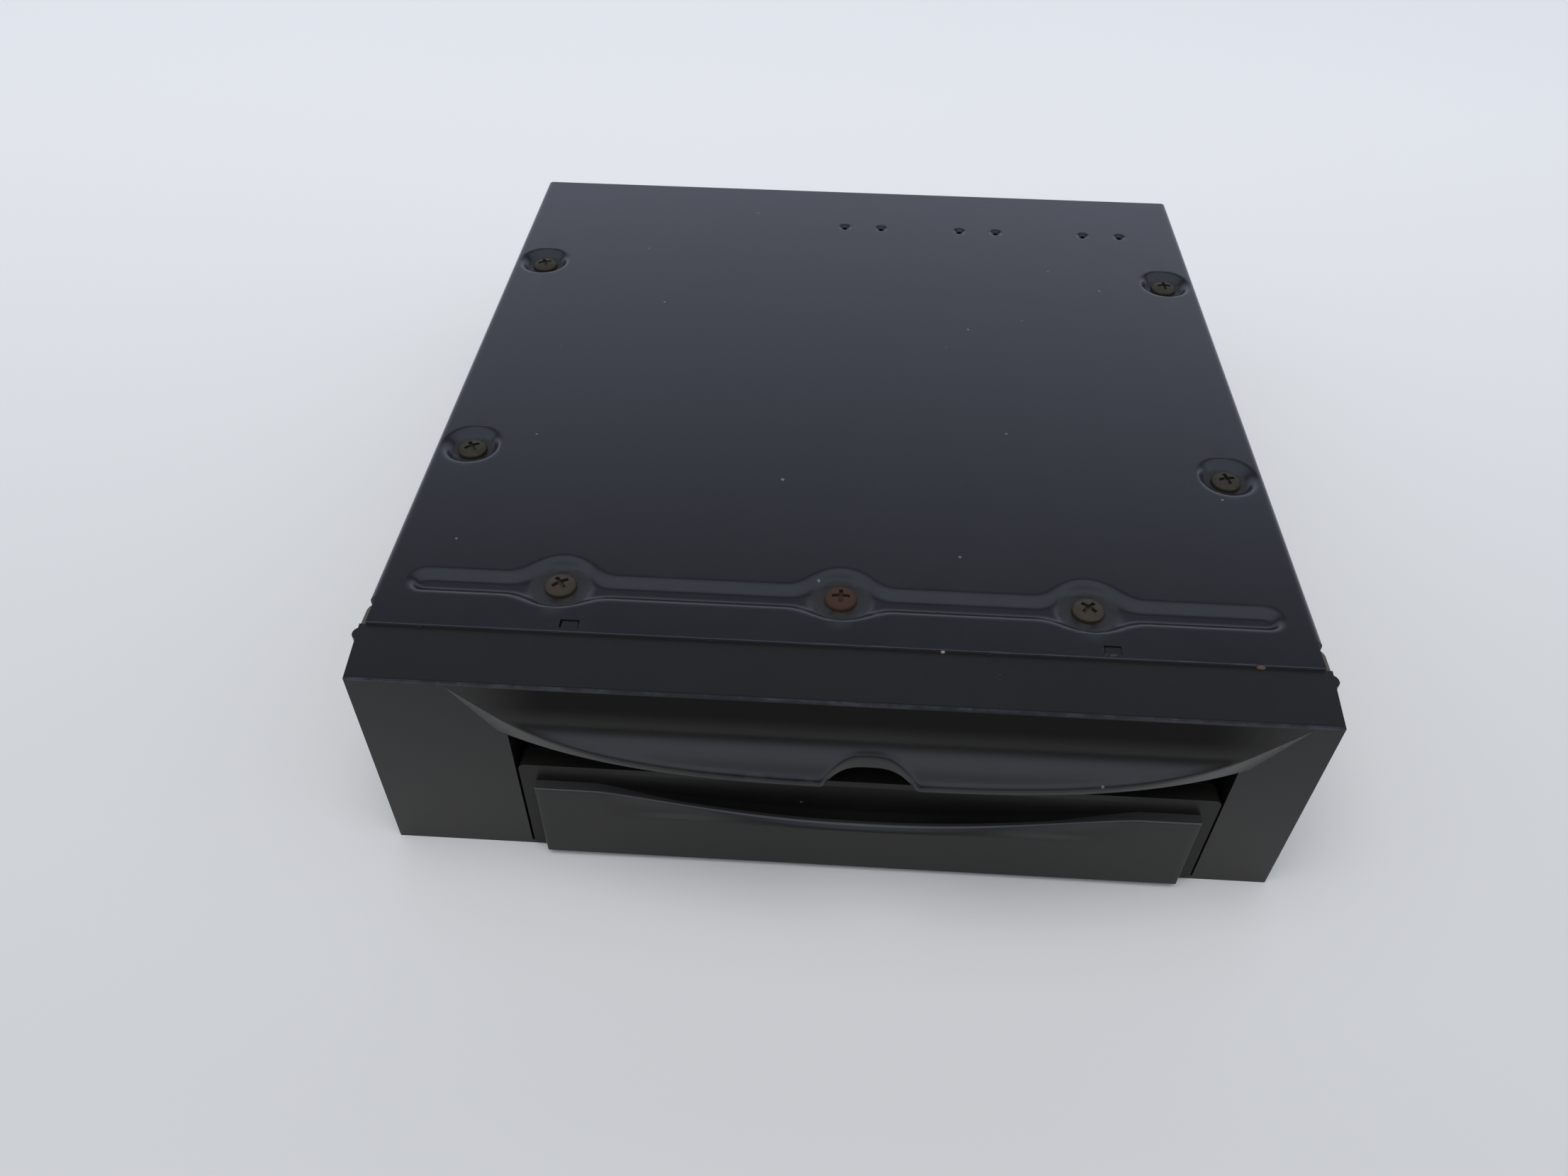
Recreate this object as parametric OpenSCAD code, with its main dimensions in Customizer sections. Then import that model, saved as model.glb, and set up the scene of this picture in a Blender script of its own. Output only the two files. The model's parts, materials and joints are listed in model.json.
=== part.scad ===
// Car CD changer: folded steel case, moulded front with a lip, pull-out magazine with six swing-out trays,
// and a play deck that a pair of cam plates carries up and down behind the magazine.
// Millimetres. X runs to the right, Y to the back and Z up. Every piece is drawn with Y = 0 on the front face
// of the bezel, and place() then brings the middle of the case's floor to the origin.

/* [Case] */
// outside width of the case
case_w = 178; // [176:0.5:184]
// depth of the case behind the bezel
case_d = 178.5; // [177:0.5:190]
// outside height of the case
case_h = 49.2; // [48.6:0.2:54]
// thickness of the sheet steel
sheet_t = 0.8; // [0.6:0.1:1]
// outside radius of the sheet's folds
fold_r = 1.2; // [1.1:0.1:1.6]
// play between the cover's skirts and the chassis walls
skirt_gap = 0.1; // [0.05:0.05:0.3]
// height of the skirts' lower edge above the floor
skirt_low = 6; // [4:1:14]
// length of the bare ears in front of the skirts
ear_len = 6.5; // [5:0.5:9]
// height of the side mounting holes
mount_z = 18; // [12:1:22]
// spacing of the two mounting holes on each side
mount_pitch = 64; // [50:1:70]
// step back of the right-hand holes against the left-hand ones
mount_step = 6; // [2:1:10]
// radius of the side mounting holes
mount_r = 2.1; // [1.6:0.1:2.6]

/* [Cover pressings] */
// distance of the dimples from the case's sides
dimple_in = 7.8; // [7.4:0.1:9]
// front and back rows of dimples
dimple_y = [67.7, 147];
// radius of a dimple at the surface
dimple_r = 5.9; // [5.2:0.1:6.6]
// depth of a dimple
dimple_depth = 1.9; // [1.4:0.1:2.2]
// middle line of the long groove
groove_y = 25.5; // [24.5:0.1:26]
// distance of the groove's ends from the case's sides
groove_in = 6.4; // [5:0.2:11]
// width of the groove at the surface
groove_w = 5.4; // [4.6:0.1:6]
// depth of the groove
groove_depth = 1.3; // [0.8:0.1:1.6]
// places of the three round bosses in the groove
boss_x = [-54, 0, 47];
// middle line of the bosses
boss_y = 26.8; // [26:0.1:27.4]
// radius of a boss at the surface
boss_r = 6.5; // [5.6:0.1:7]
// depth of a boss
boss_depth = 1.9; // [1.6:0.1:2.2]
// radius that blends a boss into the groove
blend_r = 4; // [3:0.5:5]
// run of a pressed wall for each unit of its depth
wall_run = 0.8; // [0.6:0.1:1]
// middles of the three pairs of small holes
pair_x = [2.7, 34.2, 68];
// row of the small holes
pair_y = 171.3; // [168:0.1:176]
// spacing of a pair
pair_pitch = 10; // [8:0.5:12]

/* [Screws] */
// radius of a screw head
head_r = 3.1; // [2.8:0.1:3.2]
// height of a screw head
head_h = 1.6; // [1.2:0.1:1.8]
// radius of a screw shank
shank_r = 1.3; // [1.1:0.1:1.5]
// play round a shank
shank_gap = 0.06; // [0.04:0.01:0.1]

/* [Bezel] */
// depth of the bezel from its face to the case
bezel_d = 13.5; // [12.5:0.5:15]
// narrowing of each side towards the face
bezel_taper = 1.2; // [0.6:0.1:1.8]
// step from the cover's top down to the bezel's top
bezel_drop = 0.5; // [0.3:0.1:0.8]
// wall thickness of the moulding
wall_t = 2; // [1.6:0.1:2.4]
// radius of the half-round bumps on the sides
bump_r = 1.6; // [1.4:0.1:1.8]
// places of the two hooks in the cover's windows
hook_x = 50; // [40:1:60]

/* [Opening] */
// distance of the opening from the case's right side
bay_margin = 15.9; // [15.6:0.1:16.5]
// width of the opening
bay_w = 133.4; // [133:0.2:134]
// height of the rail under the opening
rail_h = 1; // [0.9:0.1:1.2]
// distance of the lip's underside below the case's top
lip_drop = 13.2; // [12.8:0.2:13.8]

/* [Lip] */
// reach of the lip in front of the face
lip_reach = 8.85; // [7.5:0.1:10]
// half width of the lip along its underside
lip_half = 68.4; // [67:0.2:70]
// squareness of the lip's outline
lip_power = 3.1; // [2.4:0.1:4]
// spread of the lip's ends from underside to top
lip_spread = 0.118; // [0.08:0.002:0.14]
// radius of the hollow over the lip
lip_round = 10.3; // [9.6:0.1:11]
// distance of the hollow's axis below the case's top
lip_axis_drop = 1.3; // [1.1:0.1:1.8]
// width of the finger notch
notch_w = 16.8; // [14:0.2:20]
// depth of the finger notch
notch_depth = 4.2; // [3.4:0.1:5]

/* [Magazine] */
// gap beside the magazine's front
side_gap = 0.7; // [0.5:0.1:0.9]
// height of the magazine over the rail
slide_gap = 0.25; // [0.2:0.05:0.4]
// height of the case that isn't the magazine's, for rail, lip, roof and deck
over_mag = 23.6; // [23.2:0.1:23.8]
// thickness of its base, lid and walls
mag_t = 1.4; // [1.2:0.1:1.5]
// step of the front plate before the bezel's face
panel_out = 0.5; // [0.3:0.1:0.8]
// thickness of the front plate
panel_t = 3.8; // [3.4:0.1:4]
// rounding of the front plate's upper corners
panel_r = 1.5; // [1:0.1:2]
// step of the handle before the front plate
handle_out = 2.1; // [1.6:0.1:2.6]
// inset of the handle's ends
handle_in = 3; // [2:0.5:5]
// distance of the handle's upper edge below the magazine's top
handle_drop = 4.55; // [4:0.05:5.2]
// half length of the scoop in the handle
scoop_half = 51.5; // [48:0.5:54]
// squareness of the scoop's run
scoop_power = 2.2; // [1.6:0.1:2.6]
// softness of the scoop's ends
scoop_ends = 1.2; // [1.1:0.05:1.5]
// height of the crease in the scoop's middle
scoop_z = 13.9; // [13:0.1:15]
// rise of the crease towards the scoop's ends
crease_rise = 1.65; // [1:0.05:2.2]
// height of the slope over the crease, in the scoop's middle
slope_up = 0.95; // [0.8:0.05:1.4]
// depth of that slope
slope_out = 1; // [0.8:0.1:1.5]
// depth of the finger pocket behind the scoop
pocket_depth = 3; // [2.4:0.1:3]

/* [Trays] */
// height of the lowest tray over the magazine's underside
tray_rise = 3.75; // [3.65:0.05:3.95]
// height of the magazine less the five pitches of its trays
stack_room = 9.1; // [8.9:0.1:9.6]
// thickness of a tray
tray_t = 1; // [0.8:0.1:1.1]
// height of a tray's rim over its floor
rim_h = 0.9; // [0.6:0.1:1]
// radius of a tray
tray_r = 58.5; // [58:0.1:59]
// radius of the discs the trays are made for
disc_r = 60; // [60:0.1:60.2]
// radius of the opening in the middle of a tray
tray_bore = 20; // [18:1:26]
// sideways step from the disc's middle to the pivot
pivot_dx = 41.1; // [40.8:0.1:41.6]
// step of the pivot inside the tray's back edge
pivot_in = 1.9; // [1.5:0.1:2.3]
// radius of the pivot pin
pivot_r = 1.5; // [1.3:0.1:1.8]
// radius of a tray's hub
hub_r = 4.5; // [4:0.1:4.8]
// full swing of a tray
swing = 60.6; // [60.2:0.1:61]
// tooth module of the tray sector and its pinion
sector_m = 1; // [0.96:0.02:1.02]
// teeth on a full sector circle
sector_n = 16; // [16:1:16]
// teeth on the tray pinion
pinion_n = 12; // [12:1:12]

/* [Play deck] */
// thickness of the deck plate
deck_t = 1.2; // [1:0.1:1.4]
// height of the deck plate over the turntable's face
deck_over = 6.5; // [6.3:0.1:6.8]
// open gap over the disc and under the tray
mouth_gap = 1.2; // [1:0.1:1.3]
// thickness of the clamp arm
arm_t = 1; // [0.9:0.1:1]
// height of the clamp pad
pad_h = 2.2; // [2:0.1:2.3]
// gap between clamp pad and tray
pad_gap = 0.6; // [0.5:0.1:0.7]
// radius of the turntable
table_r = 9.8; // [9:0.1:10]
// play of shafts, pins and rods in their bores
run_gap = 0.06; // [0.04:0.01:0.1]
// direction of the pickup's travel
sled_a = 24; // [23:1:26]
// pickup distance from the spindle at the start
sled_in = 24; // [23:0.5:25]
// travel of the pickup
sled_run = 34; // [30:0.5:34]
// height of the rubber dampers
damper_h = 3.2; // [2.8:0.1:3.6]

/* [Lift] */
// gap between the parked clamp arm and the top tray
park_gap = 0.4; // [0.3:0.05:0.5]
// radius of the lift pins
lift_pin_r = 1.5; // [1.3:0.1:1.7]
// spacing of the lift pins
lift_pin_pitch = 26; // [24:0.5:26]
// thickness of a cam plate
cam_t = 1; // [0.8:0.1:1.2]
// tooth module of the racks
rack_m = 0.8; // [0.76:0.02:0.84]
// teeth on a rack pinion
rack_n = 14; // [14:1:14]
// teeth on the drive gear
drive_n = 32; // [32:1:32]
// teeth on the motor pinions
motor_n = 10; // [10:1:10]
// tooth module of the drive gear
drive_m = 0.5; // [0.48:0.02:0.52]
// tooth module of the tray gear
tray_gear_m = 0.4; // [0.38:0.02:0.42]
// teeth on the tray gear
tray_gear_n = 22; // [22:1:22]

/* [Eject] */
// width of the eject button
button_w = 18; // [14:0.5:22]
// height of the eject button
button_h = 5.6; // [4.6:0.2:6]
// travel of the eject button
button_run = 1; // [0.6:0.1:1.2]

/* [Hidden] */

e = 0.5;
pressure = 25;
tooth_up = 0.8;
tooth_down = 1.05;
backlash = 0.16;

half_w = case_w / 2;
rear_y = bezel_d + case_d;
cover_low = case_h - sheet_t;
skirt_in = half_w - sheet_t;
wall_out = skirt_in - skirt_gap;
wall_in = wall_out - sheet_t;
mount_y = bezel_d + 70;
tab_top = cover_low - dimple_depth;
tab_t = 1;
// run of a blend's round into the walls that it joins
blend_in = 0.08;
bar_top = cover_low - boss_depth;

dimple_x = half_w - dimple_in;
groove_half = half_w - groove_in;

bay_x1 = half_w - bay_margin;
bay_x0 = bay_x1 - bay_w;
bay_x = (bay_x0 + bay_x1) / 2;
lip_z = case_h - lip_drop;
lip_axis_z = case_h - lip_axis_drop;
bezel_top = case_h - bezel_drop;
rib_y = 9.5;
rib_t = 1.2;

mag_h = case_h - over_mag;
mag_z = rail_h + slide_gap;
mag_top = mag_z + mag_h;
panel_w = bay_w - 2 * side_gap;
panel_x0 = bay_x - panel_w / 2;
panel_back = panel_t - panel_out;
shell_w = panel_w - 2;
shell_x0 = bay_x - shell_w / 2;
shell_x1 = bay_x + shell_w / 2;
handle_y = -panel_out - handle_out;
handle_z = mag_top - handle_drop;
roof_z = mag_top + 0.8;
roof_t = 1;
roof_top = roof_z + roof_t;

tray_z0 = mag_z + tray_rise;
tray_pitch = (mag_h - stack_room) / 5;
pivot_dy = tray_r - pivot_in;
disc_x = bay_x;
disc_y = panel_back + 2 + tray_r;
pivot_x = disc_x + pivot_dx;
pivot_y = disc_y + pivot_dy;
spindle = [pivot_x, pivot_y] + turn([-pivot_dx, -pivot_dy], -swing);
shell_back = pivot_y + hub_r + 0.6;
sector_r = sector_m * sector_n / 2;
tray_pinion_r = sector_m * pinion_n / 2;
tray_pinion_y = pivot_y + sector_r + tray_pinion_r;
sector_h = 2;
top_tray = tray_z0 + 5 * tray_pitch;
hub_h = tray_pitch - 0.15;

arm_z = top_tray + tray_t + rim_h + park_gap;
arm_play_z = top_tray - pad_gap - pad_h - arm_t;
park_rise = arm_z - arm_play_z;
lift_run = park_rise + 5 * tray_pitch;
disc_t = 1.2;
face_z = top_tray + tray_t + disc_t + mouth_gap + park_rise;
deck_z = face_z + deck_over;
deck_top = deck_z + deck_t;
deck_y0 = pivot_y + sector_r + sector_m * tooth_up + 1.8;
deck_y1 = rear_y - 18;
rod_z = deck_top + 3.7;
frame_t = 1;
frame_x = wall_in - 5.3;
frame_z = deck_z - damper_h - frame_t;
deck_half = frame_x - 1.6;
lift_pin_y = [deck_y0 + 3, deck_y0 + 3 + lift_pin_pitch];
lift_pin_z = frame_z + 2.7;
cam_x = frame_x + 1.4;
guide_x = wall_in - 1.9;
cam_front = lift_pin_y[0] - lift_run - 4.5;
cam_back = lift_pin_y[1] + 4.5;
rack_r = rack_m * rack_n / 2;
shaft_r = 2;
shaft_y = cam_front - rack_r - rack_m * tooth_up - 0.7;
shaft_z = cover_low - 10.4;
rack_z = shaft_z - rack_r;
drive_r = drive_m * drive_n / 2;
drive_pinion_r = drive_m * motor_n / 2;
drive_x = -30;
motor_y = shaft_y - drive_r - drive_pinion_r;
tray_gear_r = tray_gear_m * tray_gear_n / 2;
tray_motor_r = tray_gear_m * motor_n / 2;
tray_motor_x = pivot_x + tray_gear_r + tray_motor_r;
hinge_x = pivot_x + 10.5;
hinge_y = tray_pinion_y + 18.6;
hinge_z = arm_z + 3;
board_z = roof_top + 7.4;
lock_x = wall_in - 7.3;
lock_y = 60;
lock_z = 13;
socket_x = -48;
socket_z = roof_top + 6.4;

function turn(p, a) = [p[0] * cos(a) - p[1] * sin(a), p[0] * sin(a) + p[1] * cos(a)];

// Half angle of an involute tooth at radius q, for n teeth of module m.
function inv(a) = tan(a) * 180 / PI - a;
function tooth_half(q, n, m) =
    90 / n - backlash / (n * m) * 180 / PI / 2 + inv(pressure)
    - inv(acos(min(1, n * m / 2 * cos(pressure) / q)));

function flank(n, m) = [
    let (r = n * m / 2, low = r - m * tooth_down, base = r * cos(pressure), top = r + m * tooth_up)
    for (q = [low, max(base, low + 0.01), (max(base, low) + top) / 2, top]) [q, tooth_half(max(q, base), n, m)]
];

function gear_points(n, m, first, last) = [
    let (f = flank(n, m))
    for (k = [first : last])
    for (s = [0 : 7])
    let (p = s < 4 ? f[s] : f[7 - s], a = 360 * k / n + (s < 4 ? -p[1] : p[1]))
    [p[0] * cos(a), p[0] * sin(a)]
];

module place() {
    translate([0, -bezel_d - case_d / 2, 0]) children();
}

// A block given by its two opposite corners.
module block(a, b) {
    translate(a) cube(b - a);
}

// A round bar along X from x0 to x1.
module bar_x(x0, x1, y, z, r, fn = 32) {
    translate([x0, y, z]) rotate([0, 90, 0]) cylinder(h = x1 - x0, r = r, $fn = fn);
}

// A round bar along Y from y0 to y1.
module bar_y(y0, y1, x, z, r, fn = 32) {
    translate([x, y0, z]) rotate([-90, 0, 0]) cylinder(h = y1 - y0, r = r, $fn = fn);
}

// A round bar along Z from z0 to z1.
module bar_z(z0, z1, x, y, r, fn = 32) {
    translate([x, y, z0]) cylinder(h = z1 - z0, r = r, $fn = fn);
}

module mirror_x() {
    children();
    mirror([1, 0, 0]) children();
}

// One tapered round pressing; grow adds the sheet's thickness all round for the underside.
module round_pressing(x, y, r, depth, grow) {
    top = grow > 0 ? 0 : e;
    translate([x, y, case_h - depth - grow])
        cylinder(h = depth + grow + top, r1 = r - wall_run * depth + grow * 0.6,
            r2 = r + grow * 0.6 + wall_run * top, $fn = 64);
}

// The long groove's straight part.
module groove_run(grow) {
    top = grow > 0 ? 0 : e;
    low = groove_w / 2 - wall_run * groove_depth + grow * 0.6;
    high = groove_w / 2 + grow * 0.6 + wall_run * top;
    run = groove_half - groove_w / 2;
    translate([-run, groove_y, case_h]) rotate([90, 0, 90]) linear_extrude(height = 2 * run)
        polygon([[-low, -groove_depth - grow], [low, -groove_depth - grow], [high, top], [-high, top]]);
}

// One blend between a boss and the groove's edge; side is -1 or 1 in X, edge is -1 in front or 1 behind.
module groove_blend(x, side, edge, grow) {
    top = grow > 0 ? 0 : e;
    line = groove_y + edge * groove_w / 2;
    cy = line + edge * (blend_r - blend_in) - boss_y;
    cx = sqrt(pow(boss_r + blend_r - blend_in, 2) - cy * cy);
    depth = groove_depth + grow;
    translate([x, boss_y, case_h - depth]) difference() {
        linear_extrude(height = depth + top)
            polygon([[0, 0], [side * cx, groove_y - boss_y], [side * cx, cy]]);
        translate([side * cx, cy, -e])
            cylinder(h = depth + e + top, r1 = blend_r + wall_run * (depth + e) - grow * 0.6,
                r2 = blend_r - wall_run * top - grow * 0.6, $fn = 64);
    }
}

module pressings(grow) {
    groove_run(grow);
    for (s = [-1, 1])
        round_pressing(s * (groove_half - groove_w / 2), groove_y, groove_w / 2, groove_depth, grow);
    for (x = boss_x) {
        round_pressing(x, boss_y, boss_r, boss_depth, grow);
        for (s = [-1, 1])
            for (edge = [-1, 1])
                groove_blend(x, s, edge, grow);
    }
    for (s = [-1, 1])
        for (y = dimple_y)
            round_pressing(s * dimple_x, y, dimple_r, dimple_depth, grow);
}

module mount_holes() {
    for (s = [-1, 1]) {
        bar_x(-half_w - e, -wall_in + e, mount_y + s * mount_pitch / 2, mount_z, mount_r);
        bar_x(wall_in - e, half_w + e, mount_y + mount_step + s * mount_pitch / 2, mount_z, mount_r);
    }
}

// Points of an arc of radius r round a middle, from angle a to angle b.
function arc(middle, r, a, b) = [for (k = [0 : 6]) let (t = a + (b - a) * k / 6)
    middle + r * [cos(t), sin(t)]];

// Outline of a box of half width w with two folded corners at height h, from its open edge at z = 0.
function folded(w, h, r) = concat([[-w, 0]], arc([-w + r, h - r], r, 180, 90), arc([w - r, h - r], r, 90, 0),
    [[w, 0]]);

function backwards(list) = [for (k = [len(list) - 1 : -1 : 0]) list[k]];

// A channel of folded sheet, open at z = 0, that runs from y0 to y1.
module channel(w, h, y0, y1) {
    translate([0, y1, 0]) rotate([90, 0, 0]) linear_extrude(height = y1 - y0)
        polygon(concat(folded(w, h, fold_r), backwards(folded(w - sheet_t, h - sheet_t, fold_r - sheet_t))));
}

module top_cover() {
    color("#25272b") place() difference() {
        union() {
            translate([0, 0, skirt_low]) channel(half_w, case_h - skirt_low, bezel_d + ear_len, rear_y);
            block([-half_w + 1, bezel_d, cover_low], [half_w - 1, bezel_d + ear_len + e, case_h]);
            pressings(sheet_t);
        }
        pressings(0);
        for (x = boss_x)
            bar_z(bar_top - e, case_h, x, boss_y, shank_r + 0.2, 24);
        for (s = [-1, 1])
            for (y = dimple_y)
                bar_z(tab_top - e, case_h, s * dimple_x, y, shank_r + 0.2, 24);
        for (x = pair_x)
            for (s = [-1, 1]) {
                bar_z(cover_low - e, case_h + e, x + s * pair_pitch / 2, pair_y, 0.6, 16);
                translate([x + s * pair_pitch / 2, pair_y, case_h - 0.4])
                    cylinder(h = 0.8, r1 = 0.9, r2 = 1.9, $fn = 24);
            }
        mirror_x() block([hook_x - 1.7, bezel_d + 1, cover_low - e], [hook_x + 1.7, bezel_d + 3.1, case_h + e]);
        mount_holes();
    }
}

module bottom_chassis() {
    color("#6f6a55") place() difference() {
        union() {
            translate([0, 0, cover_low]) mirror([0, 0, 1]) {
                channel(wall_out, cover_low, bezel_d, rear_y);
                translate([0, rear_y, 0]) rotate([90, 0, 0]) linear_extrude(height = sheet_t)
                    polygon(folded(wall_out, cover_low, fold_r));
            }
            mirror_x() {
                block([wall_in, bezel_d, 10], [half_w, bezel_d + ear_len - 2.2, cover_low - 0.3]);
                bar_z(10, cover_low - 0.3, half_w - 2.4, bezel_d + ear_len - 2.6, 2.4);
                for (y = dimple_y)
                    block([dimple_x - 5, y - 6, tab_top - tab_t], [wall_in + e / 2, y + 6, tab_top]);
            }
        }
        mirror_x() block([wall_in - 4, bezel_d - e, 9], [wall_in, bezel_d + ear_len + e, cover_low + e]);
        for (s = [-1, 1])
            for (y = dimple_y)
                bar_z(tab_top - tab_t - e, tab_top + e, s * dimple_x, y, shank_r + shank_gap, 24);
        block([socket_x - 12, rear_y - sheet_t - e, socket_z - 5], [socket_x + 12, rear_y + e, socket_z + 5]);
        mount_holes();
    }
}

// A pan-head screw with a cross recess, standing on z = 0.
module pan_screw(shank) {
    difference() {
        union() {
            rotate_extrude($fn = 40)
                polygon(concat([[0, 0], [head_r, 0], [head_r, head_h * 0.35]],
                    [for (a = [15 : 15 : 90]) [head_r * cos(a), head_h * (0.35 + 0.65 * sin(a))]]));
            translate([0, 0, -shank]) cylinder(h = shank + e / 2, r = shank_r, $fn = 24);
        }
        for (a = [0, 90])
            rotate([0, 0, a]) translate([-head_r * 0.55, -0.4, head_h * 0.45]) cube([head_r * 1.1, 0.8, head_h]);
    }
}

module side_screws() {
    color("#3a3733") place()
        for (s = [-1, 1])
            for (y = dimple_y)
                translate([s * dimple_x, y, case_h - dimple_depth]) rotate([0, 0, 35 * s + y]) pan_screw(4);
}

module groove_screws() {
    color("#4f3b2c") place()
        for (x = boss_x)
            translate([x, boss_y, case_h - boss_depth]) rotate([0, 0, x]) pan_screw(4);
}

module front_crossbar() {
    y0 = groove_y - 5;
    color("#777468") place() difference() {
        union() {
            block([-wall_in + e / 2, y0, bar_top - 1], [wall_in - e / 2, boss_y + 7, bar_top]);
            block([-wall_in + e / 2, y0, bar_top - 7], [wall_in - e / 2, y0 + 1, bar_top]);
            mirror_x() block([wall_in - 1, y0, bar_top - 7], [wall_in, boss_y + 7, bar_top]);
        }
        for (x = boss_x)
            bar_z(bar_top - 2, bar_top + e, x, boss_y, shank_r + shank_gap, 24);
    }
}

// Outline of the lip seen from above, with its middle on x = 0.
lip_outline = concat([[lip_half, 1], [-lip_half, 1]],
    [for (k = [-24 : 24]) let (u = sin(90 * k / 24))
        [lip_half * u, -lip_reach * (1 - pow(abs(u), lip_power))]]);

module lip() {
    difference() {
        translate([bay_x, 0, lip_z])
            linear_extrude(height = lip_axis_z - lip_z, scale = [1 + lip_spread, 1]) polygon(lip_outline);
        bar_x(-half_w, half_w, -lip_round, lip_axis_z, lip_round, 128);
        bar_z(lip_z - e, lip_axis_z + e, bay_x, notch_depth - lip_reach - notch_round, notch_round, 64);
    }
}

notch_round = (notch_w * notch_w / 4 + notch_depth * notch_depth) / (2 * notch_depth);

module front_bezel() {
    inner = half_w - bezel_taper - wall_t;
    color("#2b2b2a") place() difference() {
        union() {
            linear_extrude(height = bezel_top)
                polygon([[-half_w + bezel_taper, 0], [half_w - bezel_taper, 0], [half_w, bezel_d], [-half_w, bezel_d]]);
            lip();
            mirror_x() {
                bar_z(bezel_top - 10, bezel_top, half_w - 1, bezel_d - 2.4, bump_r);
                block([hook_x - 4, bezel_d - 2, cover_low - 1.4], [hook_x + 4, bezel_d + 4.4, cover_low]);
                block([hook_x - 1.5, bezel_d + 1.2, cover_low - 1], [hook_x + 1.5, bezel_d + 2.9, case_h - 0.2]);
            }
        }
        block([bay_x0, -lip_reach - e, rail_h], [bay_x1, bezel_d + e, lip_z]);
        block([-inner, wall_t, wall_t], [bay_x0 - wall_t, bezel_d + e, bezel_top - wall_t]);
        block([bay_x1 + wall_t, wall_t, wall_t], [inner, bezel_d + e, bezel_top - wall_t]);
        block([bay_x0, wall_t + 1, lip_z + wall_t], [bay_x1, bezel_d - 2 - e, bezel_top - wall_t]);
        for (x = [bay_x0, (bay_x0 + bay_x1) / 2 - 36, (bay_x0 + bay_x1) / 2 + 26])
            block([x, bezel_d - 2 - e * 2, lip_z + wall_t], [x + 40, bezel_d + e, bezel_top - wall_t - 2]);
    }
    color("#2b2b2a") place() difference() {
        block([bay_x0 - 1, rib_y, roof_z - 0.2], [bay_x1 + 1, rib_y + rib_t, lip_z + 1]);
        bar_y(rib_y - e, rib_y + rib_t + e, bay_x, button_z, 1.5 + run_gap, 24);
    }
}

button_z = (roof_z + lip_z) / 2 + 0.2;

module eject_button() {
    color("#333436") place() {
        block([bay_x - button_w / 2, 4.5, button_z - button_h / 2],
            [bay_x + button_w / 2, rib_y - button_run - 0.4, button_z + button_h / 2]);
        bar_y(6, rib_y + rib_t + 1.2, bay_x, button_z, 1.5, 24);
    }
}

module eject_switch() {
    y = rib_y + rib_t + 1.2 + button_run + 0.2;
    color("#8c8c86") place() {
        bar_y(y, y + 1.5, bay_x, button_z, 1.6, 24);
        block([bay_x - 3, y + 1, button_z - 3], [bay_x + 3, y + 4.5, button_z + 3]);
    }
}

module switch_board() {
    y = rib_y + rib_t + 1.2 + button_run + 4.7;
    color("#3c5a40") place() block([bay_x - 16, y, roof_top], [bay_x + 16, y + 1.2, roof_top + 10]);
}

module bay_roof() {
    color("#85847c") place() {
        block([-wall_in, bezel_d + 2.5, roof_z], [wall_in, shaft_y - lift_run - 11, roof_top]);
        block([-frame_x - 0.3, bezel_d + 10, roof_z], [frame_x + 0.3, shaft_y + 11, roof_top]);
    }
}

module magazine_guides() {
    color("#9a9a94") place() {
        block([shell_x1 + 0.35, bezel_d + 1.5, sheet_t], [shell_x1 + 3, shell_back - 3, 12]);
        block([shell_x0 - 3, bezel_d + 1.5, sheet_t], [shell_x0 - 0.35, shell_back - 5, tray_z0 - 1]);
        block([shell_x0 - 3, bezel_d + 1.5, sheet_t], [shell_x0 - 0.35, bezel_d + 11, 12]);
    }
}

// Outline of the magazine's base and lid.
module shell_outline() {
    difference() {
        union() {
            translate([shell_x0, panel_back]) square([shell_w, disc_y - panel_back]);
            translate([disc_x, disc_y]) circle(r = tray_r + 1, $fn = 128);
            translate([disc_x + 24, panel_back]) square([shell_x1 - disc_x - 24, shell_back - panel_back]);
        }
        translate([disc_x, disc_y]) circle(r = 24, $fn = 64);
        translate([pivot_x, pivot_y]) circle(r = pivot_r + run_gap, $fn = 32);
    }
}

module magazine_base() {
    color("#303133") place() {
        translate([0, 0, mag_z]) linear_extrude(height = mag_t) shell_outline();
        difference() {
            block([shell_x1 - mag_t, panel_back, mag_z], [shell_x1, shell_back, mag_top - mag_t]);
            block([shell_x1 - mag_t - e, lock_y - 15, lock_z - 2], [shell_x1 + e, lock_y - 1, lock_z + 5]);
        }
        block([shell_x0, panel_back, mag_z], [shell_x0 + mag_t, panel_back + 13, mag_top - mag_t]);
        translate([pivot_x, pivot_y, mag_z]) difference() {
            cylinder(h = tray_z0 - 0.1 - mag_z, r = hub_r, $fn = 48);
            translate([0, 0, -e]) cylinder(h = 8, r = pivot_r + run_gap, $fn = 32);
        }
    }
}

module magazine_lid() {
    color("#303133") place() translate([0, 0, mag_top - mag_t]) linear_extrude(height = mag_t) shell_outline();
}

scoop_top = mag_top - 1.6;

// Share of the way from the scoop's middle to its ends, and the edge's rise there, both 0 to 1.
function along(u) = min(1, abs(u) / scoop_half);
function rise(u) = 1 - pow(1 - pow(along(u), scoop_power), scoop_ends);
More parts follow.
